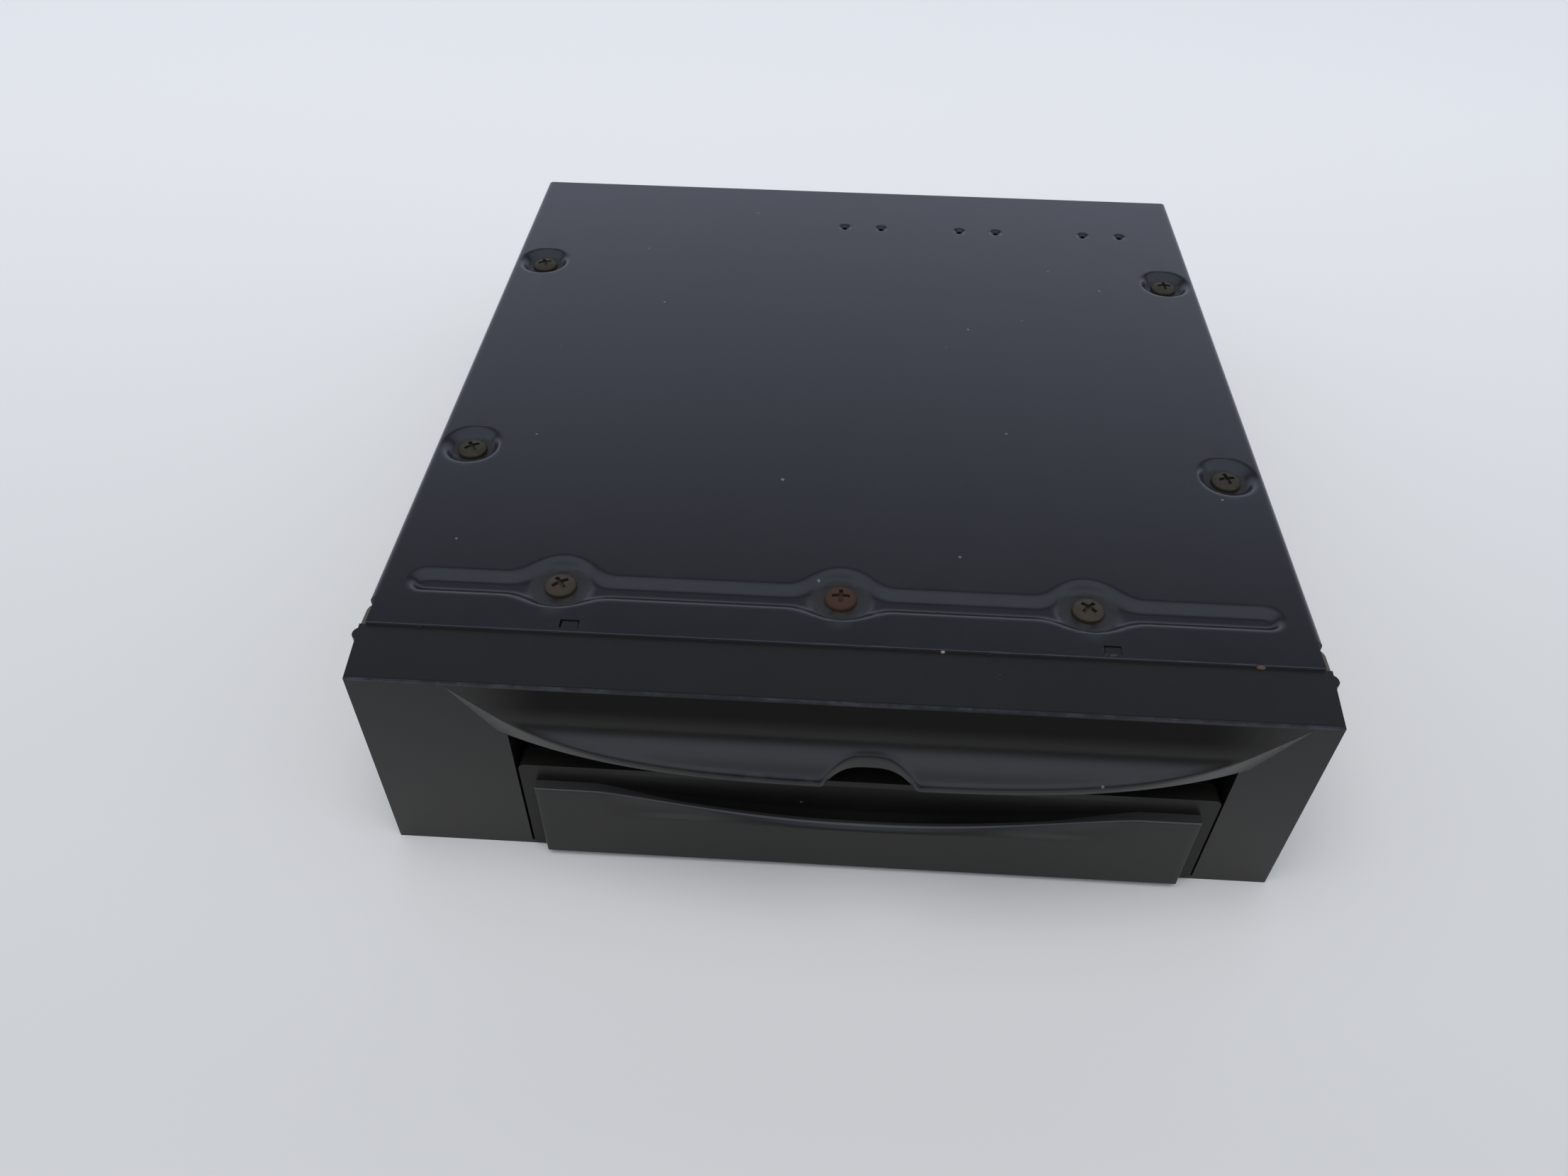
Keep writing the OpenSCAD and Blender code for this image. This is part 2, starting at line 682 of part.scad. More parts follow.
// Height of the crease in the handle's face, and height and place of the edge that the slope over it ends in.
function crease_z(u) = let (c = min(1, along(u) / 0.78)) scoop_z + crease_rise * c * c * (3 - 2 * c);
function edge_z(u) = scoop_z + slope_up + (handle_z + 0.05 - scoop_z - slope_up) * rise(u);
function edge_y(u) = handle_y - 0.1 + (slope_out + 0.1) * (1 - pow(along(u), 8));
function pocket_y(u) = -panel_out - 0.02 + pocket_depth * (1 - rise(u));
function pocket_z(u) = edge_z(u) - 1.5 * (1 - rise(u));

// The space that the scoop and the finger pocket take out of the front.
module scoop() {
    steps = 60;
    front = handle_y - 0.2;
    top = scoop_top;
    points = [for (k = [0 : steps]) let (
        u = scoop_half * (2 * k / steps - 1), x = bay_x + u, c = crease_z(u), t = edge_z(u), y = edge_y(u),
        ahead = t - (y - front) * (t - c) / max(0.3, y - handle_y))
        each [[x, front, ahead], [x, y, t], [x, y + 0.4, t], [x, y + 0.7, pocket_z(u)],
            [x, pocket_y(u), pocket_z(u)], [x, pocket_y(u), top], [x, front, top]]];
    sides = [for (k = [0 : steps - 1]) for (s = [0 : 6]) let (a = 7 * k + s, b = 7 * k + (s + 1) % 7)
        [b, a, a + 7, b + 7]];
    ends = [for (s = [0 : 4]) [6, s, s + 1]];
    far = [for (t = ends) [for (s = [2 : -1 : 0]) 7 * steps + t[s]]];
    polyhedron(points, concat(ends, sides, far), convexity = 6);
}

module magazine_front() {
    color("#303133") place() difference() {
        union() {
            translate([0, panel_back, 0]) rotate([90, 0, 0]) linear_extrude(height = panel_t) {
                translate([panel_x0, mag_z]) square([panel_w, mag_h - panel_r]);
                translate([panel_x0 + panel_r, mag_z]) square([panel_w - 2 * panel_r, mag_h]);
                for (x = [panel_x0 + panel_r, panel_x0 + panel_w - panel_r])
                    translate([x, mag_top - panel_r]) circle(r = panel_r, $fn = 32);
            }
            block([panel_x0 + handle_in, handle_y, mag_z + 0.1], [panel_x0 + panel_w - handle_in, 0, handle_z]);
        }
        scoop();
    }
}

module tray_pivot_pin() {
    color("#b9bcc0") place() bar_z(mag_z, mag_top, pivot_x, pivot_y, pivot_r);
}

// A swing-out tray at level k, counted from 0 at the bottom.
module tray(k) {
    color("#3f4145") place() translate([0, 0, tray_z0 + k * tray_pitch]) difference() {
        union() {
            difference() {
                union() {
                    translate([disc_x, disc_y, 0]) cylinder(h = tray_t, r = tray_r, $fn = 128);
                    translate([disc_x, disc_y, 0]) rotate([0, 0, atan2(pivot_dy, pivot_dx)])
                        translate([0, -4.5, 0]) cube([norm([pivot_dx, pivot_dy]), 9, tray_t]);
                    for (a = [-2, 160, 300])
                        translate([disc_x, disc_y, 0]) rotate([0, 0, a])
                            translate([tray_r - 3, -7, 0]) cube([disc_r + 1.3 - tray_r + 3, 14, tray_t]);
                }
                translate([disc_x, disc_y, -e]) cylinder(h = tray_t + 2 * e, r = tray_bore, $fn = 64);
            }
            for (a = [-2, 160, 300])
                translate([disc_x, disc_y, 0]) rotate([0, 0, a])
                    translate([disc_r + 0.3, -7, 0]) cube([1, 14, tray_t + rim_h]);
            translate([pivot_x, pivot_y, 0]) {
                cylinder(h = hub_h, r = hub_r, $fn = 48);
                linear_extrude(height = sector_h)
                    rotate([0, 0, 90]) polygon(concat([[0, 0]], gear_points(sector_n, sector_m, -1, 4)));
            }
        }
        translate([pivot_x, pivot_y, -e]) cylinder(h = tray_pitch + 2 * e, r = pivot_r + run_gap, $fn = 32);
    }
}

module tray_1() tray(0);
module tray_2() tray(1);
module tray_3() tray(2);
module tray_4() tray(3);
module tray_5() tray(4);
module tray_6() tray(5);

module magazine_lock() {
    color("#a8a59a") place() difference() {
        union() {
            bar_z(lock_z, lock_z + 3, lock_x, lock_y, 3.6, 48);
            translate([0, 0, lock_z]) linear_extrude(height = 2)
                polygon([[lock_x - 2, lock_y - 3], [lock_x + 2, lock_y - 3], [lock_x - 2, lock_y - 12],
                    [shell_x1 + 0.6, lock_y - 11], [shell_x1 + 0.6, lock_y - 8.6], [lock_x - 3, lock_y - 7]]);
        }
        bar_z(lock_z - e, lock_z + 3 + e, lock_x, lock_y, 1.5 + run_gap, 32);
    }
}

module lock_pin() {
    color("#b9bcc0") place() {
        bar_z(sheet_t, lock_z - 0.1, lock_x, lock_y, 3, 32);
        bar_z(sheet_t, lock_z + 3.4, lock_x, lock_y, 1.5, 32);
    }
}

module lift_frame() {
    color("#8f9094") place() {
        block([-frame_x, deck_y1 - 6, frame_z], [frame_x, deck_y1, frame_z + frame_t]);
        mirror_x() {
            block([frame_x - 8, deck_y0, frame_z], [frame_x, deck_y1, frame_z + frame_t]);
            difference() {
                block([frame_x - 1, deck_y0 - 1, frame_z], [frame_x, cam_back, lift_pin_z + 3]);
                for (y = lift_pin_y)
                    bar_x(frame_x - 2, frame_x + 1, y, lift_pin_z, lift_pin_r + 0.02, 24);
            }
        }
    }
}

module lift_pins() {
    color("#b9bcc0") place() mirror_x()
        for (y = lift_pin_y)
            bar_x(frame_x - 1.6, wall_in - 0.6, y, lift_pin_z, lift_pin_r, 24);
}

// A slot in a plate that stands in the Y-Z plane, between two round ends.
module plate_slot(x, y0, z0, y1, z1, r) {
    len = norm([y1 - y0, z1 - z0]);
    translate([x, y0, z0]) rotate([atan2(z1 - z0, y1 - y0), 0, 0]) {
        bar_x(0, 4, 0, 0, r, 24);
        bar_x(0, 4, len, 0, r, 24);
        translate([0, 0, -r]) cube([4, len, 2 * r]);
    }
}

module cam_plate() {
    pitch = PI * rack_m;
    root = rack_z - rack_m * tooth_down;
    tip = rack_z + rack_m * tooth_up;
    low = rack_m * PI / 4 + rack_m * tooth_down * tan(pressure) - backlash / 2;
    high = rack_m * PI / 4 - rack_m * tooth_up * tan(pressure) - backlash / 2;
    count = ceil((lift_run + 5) / pitch);
    difference() {
        union() {
            block([cam_x, cam_front, lift_pin_z - lift_run - 4.5], [cam_x + cam_t, cam_back, lift_pin_z + 4]);
            block([cam_x, shaft_y - (count + 1) * pitch, root - 5], [cam_x + cam_t, cam_front + 1, root]);
            for (k = [-count : 1])
                translate([cam_x, shaft_y + (k + 0.5) * pitch, rack_z]) rotate([90, 0, 90])
                    linear_extrude(height = cam_t)
                        polygon([[-low, root - rack_z - 0.2], [low, root - rack_z - 0.2], [low, root - rack_z],
                            [high, tip - rack_z], [-high, tip - rack_z], [-low, root - rack_z]]);
        }
        for (y = lift_pin_y)
            plate_slot(cam_x - 1, y, lift_pin_z, y - lift_run, lift_pin_z - lift_run, lift_pin_r + run_gap);
    }
}

module cam_plate_left() {
    color("#9fa2a6") place() mirror([1, 0, 0]) cam_plate();
}

module cam_plate_right() {
    color("#9fa2a6") place() cam_plate();
}

module guide_plate() {
    difference() {
        block([guide_x, lift_pin_y[0] - 8, sheet_t], [wall_in, lift_pin_y[1] + 8, lift_pin_z + 5]);
        for (y = lift_pin_y)
            plate_slot(guide_x - 1, y, lift_pin_z, y, lift_pin_z - lift_run, lift_pin_r + run_gap);
    }
}

module guide_plate_left() {
    color("#d6d3c6") place() mirror([1, 0, 0]) guide_plate();
}

module guide_plate_right() {
    color("#d6d3c6") place() guide_plate();
}

// A gear in the X-Y plane round the Z axis, with one tooth turned to angle a.
module gear(n, m, h, bore, a) {
    difference() {
        rotate([0, 0, a]) linear_extrude(height = h) polygon(gear_points(n, m, 0, n - 1));
        translate([0, 0, -e]) cylinder(h = h + 2 * e, r = bore, $fn = 32);
    }
}

// Stands a gear on the cross shaft's direction, its tooth angle counted from +Y towards +Z.
module along_x(x, y, z) {
    translate([x, y, z]) rotate([90, 0, 90]) children();
}

module lift_shaft() {
    color("#b9bcc0") place() bar_x(-cam_x - cam_t - 0.8, cam_x + cam_t + 0.8, shaft_y, shaft_z, shaft_r);
}

module rack_pinions() {
    color("#e2ddcf") place()
        for (x = [-cam_x - cam_t - 0.8, cam_x - 0.8])
            along_x(x, shaft_y, shaft_z) gear(rack_n, rack_m, cam_t + 1.6, shaft_r + 0.02, -90);
}

module drive_gear() {
    color("#e2ddcf") place() along_x(drive_x, shaft_y, shaft_z) gear(drive_n, drive_m, 3, shaft_r + 0.02, 180);
}

module shaft_bearings() {
    color("#d6d3c6") place() mirror_x() difference() {
        block([frame_x - 20, shaft_y - 5, roof_top], [frame_x - 14, shaft_y + 5, shaft_z + 4.5]);
        bar_x(frame_x - 21, frame_x - 13, shaft_y, shaft_z, shaft_r + run_gap);
    }
}

// A small motor with two flats, its axis along X and its face at x = 0.
module flat_motor(len, r, flat) {
    intersection() {
        bar_x(-len, 0, 0, 0, r, 48);
        block([-len - e, -r - e, -flat], [e, r + e, flat]);
    }
}

module lift_motor() {
    color("#a9abae") place() translate([drive_x - 3, motor_y, shaft_z]) flat_motor(22, 6, 5);
}

module lift_motor_pinion() {
    color("#c9a24a") place() {
        along_x(drive_x - 0.5, motor_y, shaft_z) gear(motor_n, drive_m, 4, 0.5, 180 / motor_n);
        bar_x(drive_x - 2.95, drive_x + 4, motor_y, shaft_z, 0.75, 16);
    }
}

module motor_mount() {
    color("#d6d3c6") place()
        block([drive_x - 22, motor_y - 5, roof_top], [drive_x - 7, motor_y + 5, shaft_z - 5]);
}

// Puts a piece in the pickup's frame: X runs out from the spindle along the sled's travel.
module sled_frame() {
    place() translate([spindle[0], spindle[1], 0]) rotate([0, 0, sled_a]) children();
}

rod_span = [sled_in - 11.5, sled_in + sled_run + 17];
rod_half = 9;
screw_off = rod_half + 3.8;

module deck_plate() {
    color("#9a9ca0") {
        difference() {
            place() union() {
                block([-deck_half, deck_y0, deck_z], [deck_half, deck_y1, deck_top]);
                bar_z(deck_z, deck_top, spindle[0], spindle[1], table_r + 0.6, 64);
                translate([spindle[0], spindle[1], 0]) rotate([0, 0, sled_a])
                    block([0, -rod_half - 2, deck_z], [rod_span[0] + 2, 0, deck_top]);
            }
            sled_frame() block([rod_span[0] + 2, -7.6, deck_z - e], [sled_in + sled_run + 10, 7.6, deck_top + e]);
            place() {
                bar_z(deck_z - e, deck_top + e, spindle[0], spindle[1], 2, 24);
                bar_z(deck_z - e, deck_top + e, pivot_x, tray_pinion_y, 1.5 + run_gap, 24);
                bar_z(deck_z - e, deck_top + e, tray_motor_x, tray_pinion_y, 1.4, 24);
            }
        }
        sled_frame() difference() {
            for (x = rod_span)
                for (s = [-rod_half, rod_half])
                    block([x - 2, s - 2, deck_top - 0.2], [x + 2, s + 2, rod_z + 2]);
            for (s = [-rod_half, rod_half])
                bar_x(rod_span[0] - 3, rod_span[1] + 3, s, rod_z, 1.02, 24);
        }
        sled_frame() difference() {
            block([rod_span[0] - 2, rod_half + 1.9, deck_top - 0.2], [rod_span[0] + 2, screw_off + 2.2, rod_z + 2]);
            bar_x(rod_span[0] - 3, rod_span[0] + 3, screw_off, rod_z, 1.2 + run_gap, 24);
        }
        place() difference() {
            for (y = [hinge_y - 7, hinge_y + 5])
                block([hinge_x - 3, y, hinge_z - 1.8], [hinge_x + 3, y + 2, deck_z + 0.2]);
            bar_y(hinge_y - 8, hinge_y + 8, hinge_x, hinge_z, 1.02, 24);
        }
    }
}

module deck_dampers() {
    color("#4a3d3a") place() mirror_x()
        for (y = [deck_y0 + 4, deck_y1 - 4])
            bar_z(frame_z + frame_t, deck_z, frame_x - 5, y, 2.8);
}

module spindle_motor() {
    color("#a9abae") place() difference() {
        union() {
            bar_z(deck_top, deck_top + 5.5, spindle[0], spindle[1], table_r - 0.2, 64);
            bar_z(deck_top, deck_top + 7, spindle[0], spindle[1], table_r - 3, 64);
        }
        bar_z(deck_top - e, deck_top + 5, spindle[0], spindle[1], 1 + run_gap, 24);
    }
}

module turntable() {
    color("#34363a") place() {
        bar_z(face_z, face_z + 2, spindle[0], spindle[1], table_r, 64);
        translate([spindle[0], spindle[1], face_z - 1.4]) cylinder(h = 1.6, r1 = 5, r2 = 7.2, $fn = 48);
        bar_z(face_z + 1, deck_top + 4.8, spindle[0], spindle[1], 1, 24);
    }
}

module pickup() {
    color("#5d6066") sled_frame() difference() {
        union() {
            block([sled_in - 8, -7, face_z + 1.4], [sled_in + 8, 7, rod_z + 1.6]);
            block([sled_in - 6, -rod_half - 2.4, rod_z - 2], [sled_in + 6, rod_half + 2.4, rod_z + 1.6]);
            block([sled_in - 3, rod_half, rod_z - 2], [sled_in + 3, screw_off + 2.2, rod_z + 1.6]);
        }
        for (s = [-rod_half, rod_half])
            bar_x(sled_in - 9, sled_in + 9, s, rod_z, 1 + run_gap, 24);
        bar_x(sled_in - 9, sled_in + 9, screw_off, rod_z, 1.2 + run_gap, 24);
        bar_z(face_z, face_z + 3, sled_in, 0, 3.2);
    }
}

module pickup_lens() {
    color("#8fb3d9") sled_frame() {
        bar_z(face_z + 1.8, face_z + 3, sled_in, 0, 2.4);
        translate([sled_in, 0, face_z + 1.1]) cylinder(h = 0.9, r1 = 1.2, r2 = 2, $fn = 32);
    }
}

module guide_rods() {
    color("#c6c9cc") sled_frame()
        for (s = [-rod_half, rod_half])
            bar_x(rod_span[0] - 2, rod_span[1] + 2, s, rod_z, 1, 24);
}

module lead_screw() {
    color("#b9bcc0") sled_frame() bar_x(rod_span[0] - 2, rod_span[1] + 2.15, screw_off, rod_z, 1.2, 24);
}

module sled_motor() {
    color("#a9abae") sled_frame() translate([rod_span[1] + 14.2, screw_off, rod_z]) flat_motor(12, 4.6, 3.7);
}

module clamp_arm() {
    dx = hinge_x - spindle[0];
    dy = hinge_y - spindle[1];
    color("#9fa2a6") place() difference() {
        union() {
            bar_z(arm_z, arm_z + arm_t, spindle[0], spindle[1], table_r - 1, 64);
            translate([spindle[0], spindle[1], arm_z]) rotate([0, 0, atan2(dy, dx)])
                translate([0, -4, 0]) cube([norm([dx, dy]), 8, arm_t]);
            bar_z(arm_z + arm_t / 2, arm_z + arm_t + 1.6, spindle[0], spindle[1], 2, 24);
            block([hinge_x - 3, hinge_y - 4.7, arm_z], [hinge_x + 3, hinge_y + 4.7, hinge_z + 1.8]);
        }
        bar_y(hinge_y - 8, hinge_y + 8, hinge_x, hinge_z, 1 + run_gap, 24);
    }
}

module clamp_pin() {
    color("#b9bcc0") place() bar_y(hinge_y - 7.4, hinge_y + 7.4, hinge_x, hinge_z, 1, 24);
}

module clamp_pad() {
    color("#3a3c40") place() translate([spindle[0], spindle[1], arm_z + arm_t]) difference() {
        translate([0, 0, 0.06]) cylinder(h = pad_h - 0.06, r = table_r - 0.3, $fn = 64);
        translate([0, 0, 0.8]) cylinder(h = pad_h, r = 7.8, $fn = 48);
        translate([0, 0, -e]) cylinder(h = pad_h, r = 2 + run_gap, $fn = 24);
    }
}

module tray_pinion() {
    color("#e2ddcf") place() translate([pivot_x, tray_pinion_y, 0]) {
        translate([0, 0, top_tray + park_rise]) gear(pinion_n, sector_m, sector_h, 0.5, -90 + 180 / pinion_n);
        translate([0, 0, top_tray + park_rise]) cylinder(h = deck_top + 3 - top_tray - park_rise, r = 1.5, $fn = 32);
    }
}

module tray_gear() {
    color("#e2ddcf") place() translate([pivot_x, tray_pinion_y, deck_top + 0.5])
        gear(tray_gear_n, tray_gear_m, 2, 1.52, 0);
}

module tray_motor() {
    color("#a9abae") place() bar_z(top_tray + park_rise + sector_h + 0.9, deck_z, tray_motor_x, tray_pinion_y, 4.5, 48);
}

module tray_motor_pinion() {
    color("#c9a24a") place() translate([tray_motor_x, tray_pinion_y, 0]) {
        translate([0, 0, deck_top + 0.4]) gear(motor_n, tray_gear_m, 2.4, 0.5, 180 + 180 / motor_n);
        translate([0, 0, deck_z + 0.05]) cylinder(h = deck_t + 2.8, r = 0.9, $fn = 24);
    }
}

board_x = [bay_x - 62, bay_x + 62];
board_y = [boss_y + 11, motor_y - 10];

module main_board() {
    color("#2f5c3a") place() block([board_x[0], board_y[0], board_z], [board_x[1], board_y[1], board_z + 1.4]);
}

module board_parts() {
    top = board_z + 1.4;
    color("#26272a") place() {
        block([bay_x - 12, board_y[0] + 14, top], [bay_x + 8, board_y[0] + 34, top + 2]);
        block([bay_x - 40, board_y[0] + 8, top], [bay_x - 26, board_y[0] + 20, top + 2]);
        block([bay_x + 22, board_y[0] + 10, top], [bay_x + 40, board_y[0] + 18, top + 2.4]);
        for (x = [-48, -38, 46, 54])
            bar_z(top, top + 7, bay_x + x, board_y[1] - 7, 3.2);
        block([bay_x - 20, board_y[1] - 7, top], [bay_x + 10, board_y[1] - 2, top + 4]);
        block([bay_x + 18, board_y[1] - 10, top], [bay_x + 30, board_y[1] - 5, top + 3]);
    }
}

module board_standoffs() {
    color("#b9bcc0") place()
        for (x = [board_x[0] + 4, board_x[1] - 4])
            for (y = [board_y[0] + 4, board_y[1] - 15])
                bar_z(roof_top, board_z, x, y, 2.5);
}

module rear_socket() {
    color("#222326") place() difference() {
        union() {
            block([socket_x - 11.9, rear_y - 13, socket_z - 4.9], [socket_x + 11.9, rear_y, socket_z + 4.9]);
            block([socket_x - 15, rear_y - 13, socket_z - 6], [socket_x + 15, rear_y - sheet_t, socket_z + 6]);
        }
        block([socket_x - 10, rear_y - 10, socket_z - 3.4], [socket_x + 10, rear_y + e, socket_z + 3.4]);
    }
}

module socket_pins() {
    color("#c9b06a") place()
        for (k = [-3 : 3])
            for (z = [-1.5, 1.5])
                block([socket_x + k * 2.6 - 0.35, rear_y - 10, socket_z + z - 0.35],
                    [socket_x + k * 2.6 + 0.35, rear_y - 5.2, socket_z + z + 0.35]);
}

bottom_chassis();
top_cover();
front_bezel();
side_screws();
groove_screws();
front_crossbar();
bay_roof();
magazine_guides();
magazine_base();
magazine_lid();
magazine_front();
tray_pivot_pin();
tray_1();
tray_2();
tray_3();
tray_4();
tray_5();
tray_6();
eject_button();
eject_switch();
switch_board();
magazine_lock();
lock_pin();
lift_frame();
lift_pins();
cam_plate_left();
cam_plate_right();
guide_plate_left();
guide_plate_right();
lift_shaft();
rack_pinions();
drive_gear();
shaft_bearings();
lift_motor();
lift_motor_pinion();
motor_mount();
deck_plate();
deck_dampers();
spindle_motor();
turntable();
pickup();
pickup_lens();
guide_rods();
lead_screw();
sled_motor();
clamp_arm();
clamp_pin();
clamp_pad();
tray_pinion();
tray_gear();
tray_motor();
tray_motor_pinion();
main_board();
board_parts();
board_standoffs();
rear_socket();
socket_pins();
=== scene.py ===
"""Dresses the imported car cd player: satin paint, grained plastic, aged screws and a softly lit stage."""

import json
import math
from types import SimpleNamespace as Sizes

import bmesh
import bpy
from bpy.props import FloatProperty, FloatVectorProperty, PointerProperty
from bpy.types import Operator, Panel, PropertyGroup
from mathutils import Matrix, Vector


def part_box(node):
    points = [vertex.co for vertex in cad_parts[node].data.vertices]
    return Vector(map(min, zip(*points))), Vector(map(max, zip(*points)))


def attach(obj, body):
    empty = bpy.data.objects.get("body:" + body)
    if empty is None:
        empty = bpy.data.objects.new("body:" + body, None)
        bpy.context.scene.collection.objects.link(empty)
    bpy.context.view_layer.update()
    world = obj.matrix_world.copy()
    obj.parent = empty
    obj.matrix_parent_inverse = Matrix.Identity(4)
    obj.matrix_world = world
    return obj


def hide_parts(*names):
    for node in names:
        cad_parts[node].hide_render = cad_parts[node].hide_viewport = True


bl_info = {
    "name": "Car CD Player Finish",
    "version": (1, 0, 0),
    "blender": (4, 5, 0),
    "location": "View3D > Sidebar > CD Player",
    "description": "Gives the packed car cd player its paint, plastics, wear and light",
    "category": "Object",
}

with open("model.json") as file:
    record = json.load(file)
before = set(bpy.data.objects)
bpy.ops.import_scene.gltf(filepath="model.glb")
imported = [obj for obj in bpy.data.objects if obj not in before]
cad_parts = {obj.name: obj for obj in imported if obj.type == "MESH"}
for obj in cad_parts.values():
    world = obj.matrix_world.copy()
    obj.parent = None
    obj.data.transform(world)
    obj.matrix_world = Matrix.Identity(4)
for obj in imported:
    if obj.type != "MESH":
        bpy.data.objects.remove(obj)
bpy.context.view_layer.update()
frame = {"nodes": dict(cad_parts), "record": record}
MM = 0.001

# The front in millimetres: its depth, how far its top and the lip's underside lie under the cover's top, the
# middle of lip and notch along x, and how far the lip's root is left proud of the face
FRONT = Sizes(deep=13.5, top=0.5, lip_low=13.2, middle=6.4, proud=0.02)

# Places on the frame in metres
COVER_LOW, COVER_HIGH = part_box("top_cover")
COVER_TOP = COVER_HIGH.z
COVER_FRONT = COVER_LOW.y
COVER_SIDE = COVER_HIGH.x
BEZEL_TOP = COVER_TOP - FRONT.top * MM
BEZEL_FACE = COVER_FRONT - FRONT.deep * MM
LIP_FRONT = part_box("front_bezel")[0].y
LIP_LOW = COVER_TOP - FRONT.lip_low * MM
NOTCH_X = FRONT.middle * MM

# Pressings of the cover in millimetres: x from the middle, v back from the cover's front edge
GROOVE = Sizes(v=12.0, half=82.6, width=5.4, depth=1.3)
BOSS = Sizes(x=(-54.0, 0.0, 47.0), v=13.3, radius=6.5, depth=1.9)
DIMPLE = Sizes(x=81.2, v=(54.2, 133.5), radius=5.9, depth=1.9)
PAIR = Sizes(x=(2.7, 34.2, 68.0), v=157.8, pitch=10.0, radius=1.8, hole=0.6, depth=0.5)
WINDOW = Sizes(x=50.0, v=2.05, wide=3.4, deep=2.1)
SHEET = Sizes(thick=0.8, fold=1.2, skirt=6.0, ear=6.5, wall_run=0.8, merge=5.0, cut=0.14)

# Grids of cover, lip and handle in millimetres: steps between their lines, half widths of the bands of close
# lines, and the middle of the band over groove and bosses
STEP = Sizes(
    plain=12.0, wall=8.0, ear=3.0, press=0.6, groove=0.5, pair=0.34, bolt=0.65, lip=2.0, notch=0.35,
    handle=1.2,
)
BAND = Sizes(boss=10.5, end=3.0, groove=7.6, pair=2.0, bolt=2.6, margin=0.7, notch=2.5, tip=4.5)
GROOVE_BAND_V = 13.5
LEAST_GAP = 0.2
FOLD_STEPS = 5
END_STEPS = (0.0, 0.45, 0.75, 0.93, 1.0)

# The lip in millimetres: its outline seen from above, the drafted wall and floor of its hollow, and its notch
LIP = Sizes(
    half=68.4, power=3.1, spread=0.118, reach=8.85, rim=37.9, top=48.0, draft=0.32,
    floor=0.14, fillet=5.5, foot=0.25, root=0.6, tip=0.996,
)
NOTCH = Sizes(half=8.3, power=3.0, deep=4.8, corner=0.9)

# The magazine's handle in millimetres: its plate in front of the panel, and the scoop with crease and pocket
HANDLE = Sizes(
    inset=3.0, front=2.6, panel=0.51, root=0.2, low=1.35, top=22.3, edge=0.35,
    edge_share=0.6, ledge=0.8,
)
SCOOP = Sizes(
    half=51.5, power=2.2, ends=1.2, crease=13.9, rise=1.65, rise_end=0.78, up=0.95,
    out=1.0, soft=0.3, soft_ends=2.6, pocket=1.5, undercut=0.2, below=0.02, streak=1.75,
)

# Steps along the curved parts of the sections of lip and handle
CURVE = Sizes(fillet=12, rim=8, hollow=16, slope=18, edge=3)

# Edges: angles in degrees from which they stay sharp or get rounded, and roundings in millimetres
SHARP = Sizes(loft=32, moulded=14, sheet=50)
ROUND = Sizes(chassis=0.2, magazine=0.3)
WELD = 0.002

# The dark worn spots at the notch's corners in millimetres, from its middle, the face and the cover's top
SPOT = Sizes(away=9.2, forward=8.2, down=12.0, radius=1.0)

# Dirt along the seam between cover and front: its piece, places along x and half sizes in millimetres, and
# its material's name, colour, roughness and relief
SEAM = (
    ("seam_burrs", (-77.6, -72.0, -29.8, -23.5, 27.2, 70.6, 79.5), (0.7, 0.35, 0.25),
     "seam_dirt", (0.006, 0.006, 0.006), 0.85, 0.3),
    ("seam_crumb", (18.9,), (0.40, 0.35, 0.3), "crumb", (0.24, 0.20, 0.16), 0.8, 0.4),
    ("seam_rust", (76.2,), (0.85, 0.5, 0.4), "rust_lump", (0.085, 0.050, 0.030), 0.85, 0.6),
)

# Fixed tones of dust, pits, chips and a painted edge highlight, and lines of painted shade, in linear values
DUST_SPECK = (0.20, 0.20, 0.20, 1.0)
PAINT_PIT = (0.004, 0.004, 0.005, 1.0)
# The chip tone also paints the highlight along the cover's front edge
PAINT_CHIP_AND_HIGHLIGHT = (0.10, 0.10, 0.105, 1.0)
DULL_ZINC = (0.036, 0.031, 0.017, 1.0)
SCREW_PIT = (0.012, 0.009, 0.007, 1.0)
LINT = (0.16, 0.16, 0.155, 1.0)
# Painted shade: the fine dark lines beside the bezel's upper edge
EDGE_SHADE_LINE = (0.001, 0.001, 0.001, 1.0)
RUBBED_BLACK = (0.0015, 0.0015, 0.0015, 1.0)
SOLDER = (0.50, 0.50, 0.48, 1.0)

# Strength of the moulded grain on the plain front and in the lip's hollow, and shares of the front's gloss
GRAIN_RELIEF = 0.28
LIP_RELIEF = 0.14
MAGAZINE_GLOSS = 0.5
HANDLE_GLOSS = 0.85
DULL_GLOSS = 0.2

# Light of the sky ahead of the camera and behind it, as pairs of the sine of the height angle, seen from the
# side, and the level
SKY_AHEAD = (
    (0.05, 1.02), (0.44, 1.0), (0.52, 0.82), (0.60, 0.73), (0.655, 0.64),
    (0.675, 0.46), (0.695, 0.08), (0.82, 0.08), (0.93, 0.65), (1.0, 0.9),
)
SKY_BEHIND = ((0.02, 0.05), (0.22, 0.08), (0.42, 0.42), (0.60, 0.90), (0.80, 1.10), (1.0, 1.0))
SKY_SEAM = 0.12

# The floor's half size and the depths between which its colour goes from painted shade in front to lighter at
# the back, and the lamp, in metres
FLOOR_HALF = 4.0
FLOOR_PAINTED_SHADE = (-0.28, 0.30)
LAMP = Sizes(place=(-0.2, -0.5, 2.2), aim=(0.0, 0.0, 0.02), size=2.0)


def colour(name, owner, default):
    """The colour of something, which the user can change, in linear values."""
    return FloatVectorProperty(
        name=name, description=f"Colour of {owner}", subtype="COLOR", size=3, min=0.0, max=1.0,
        default=default,
    )


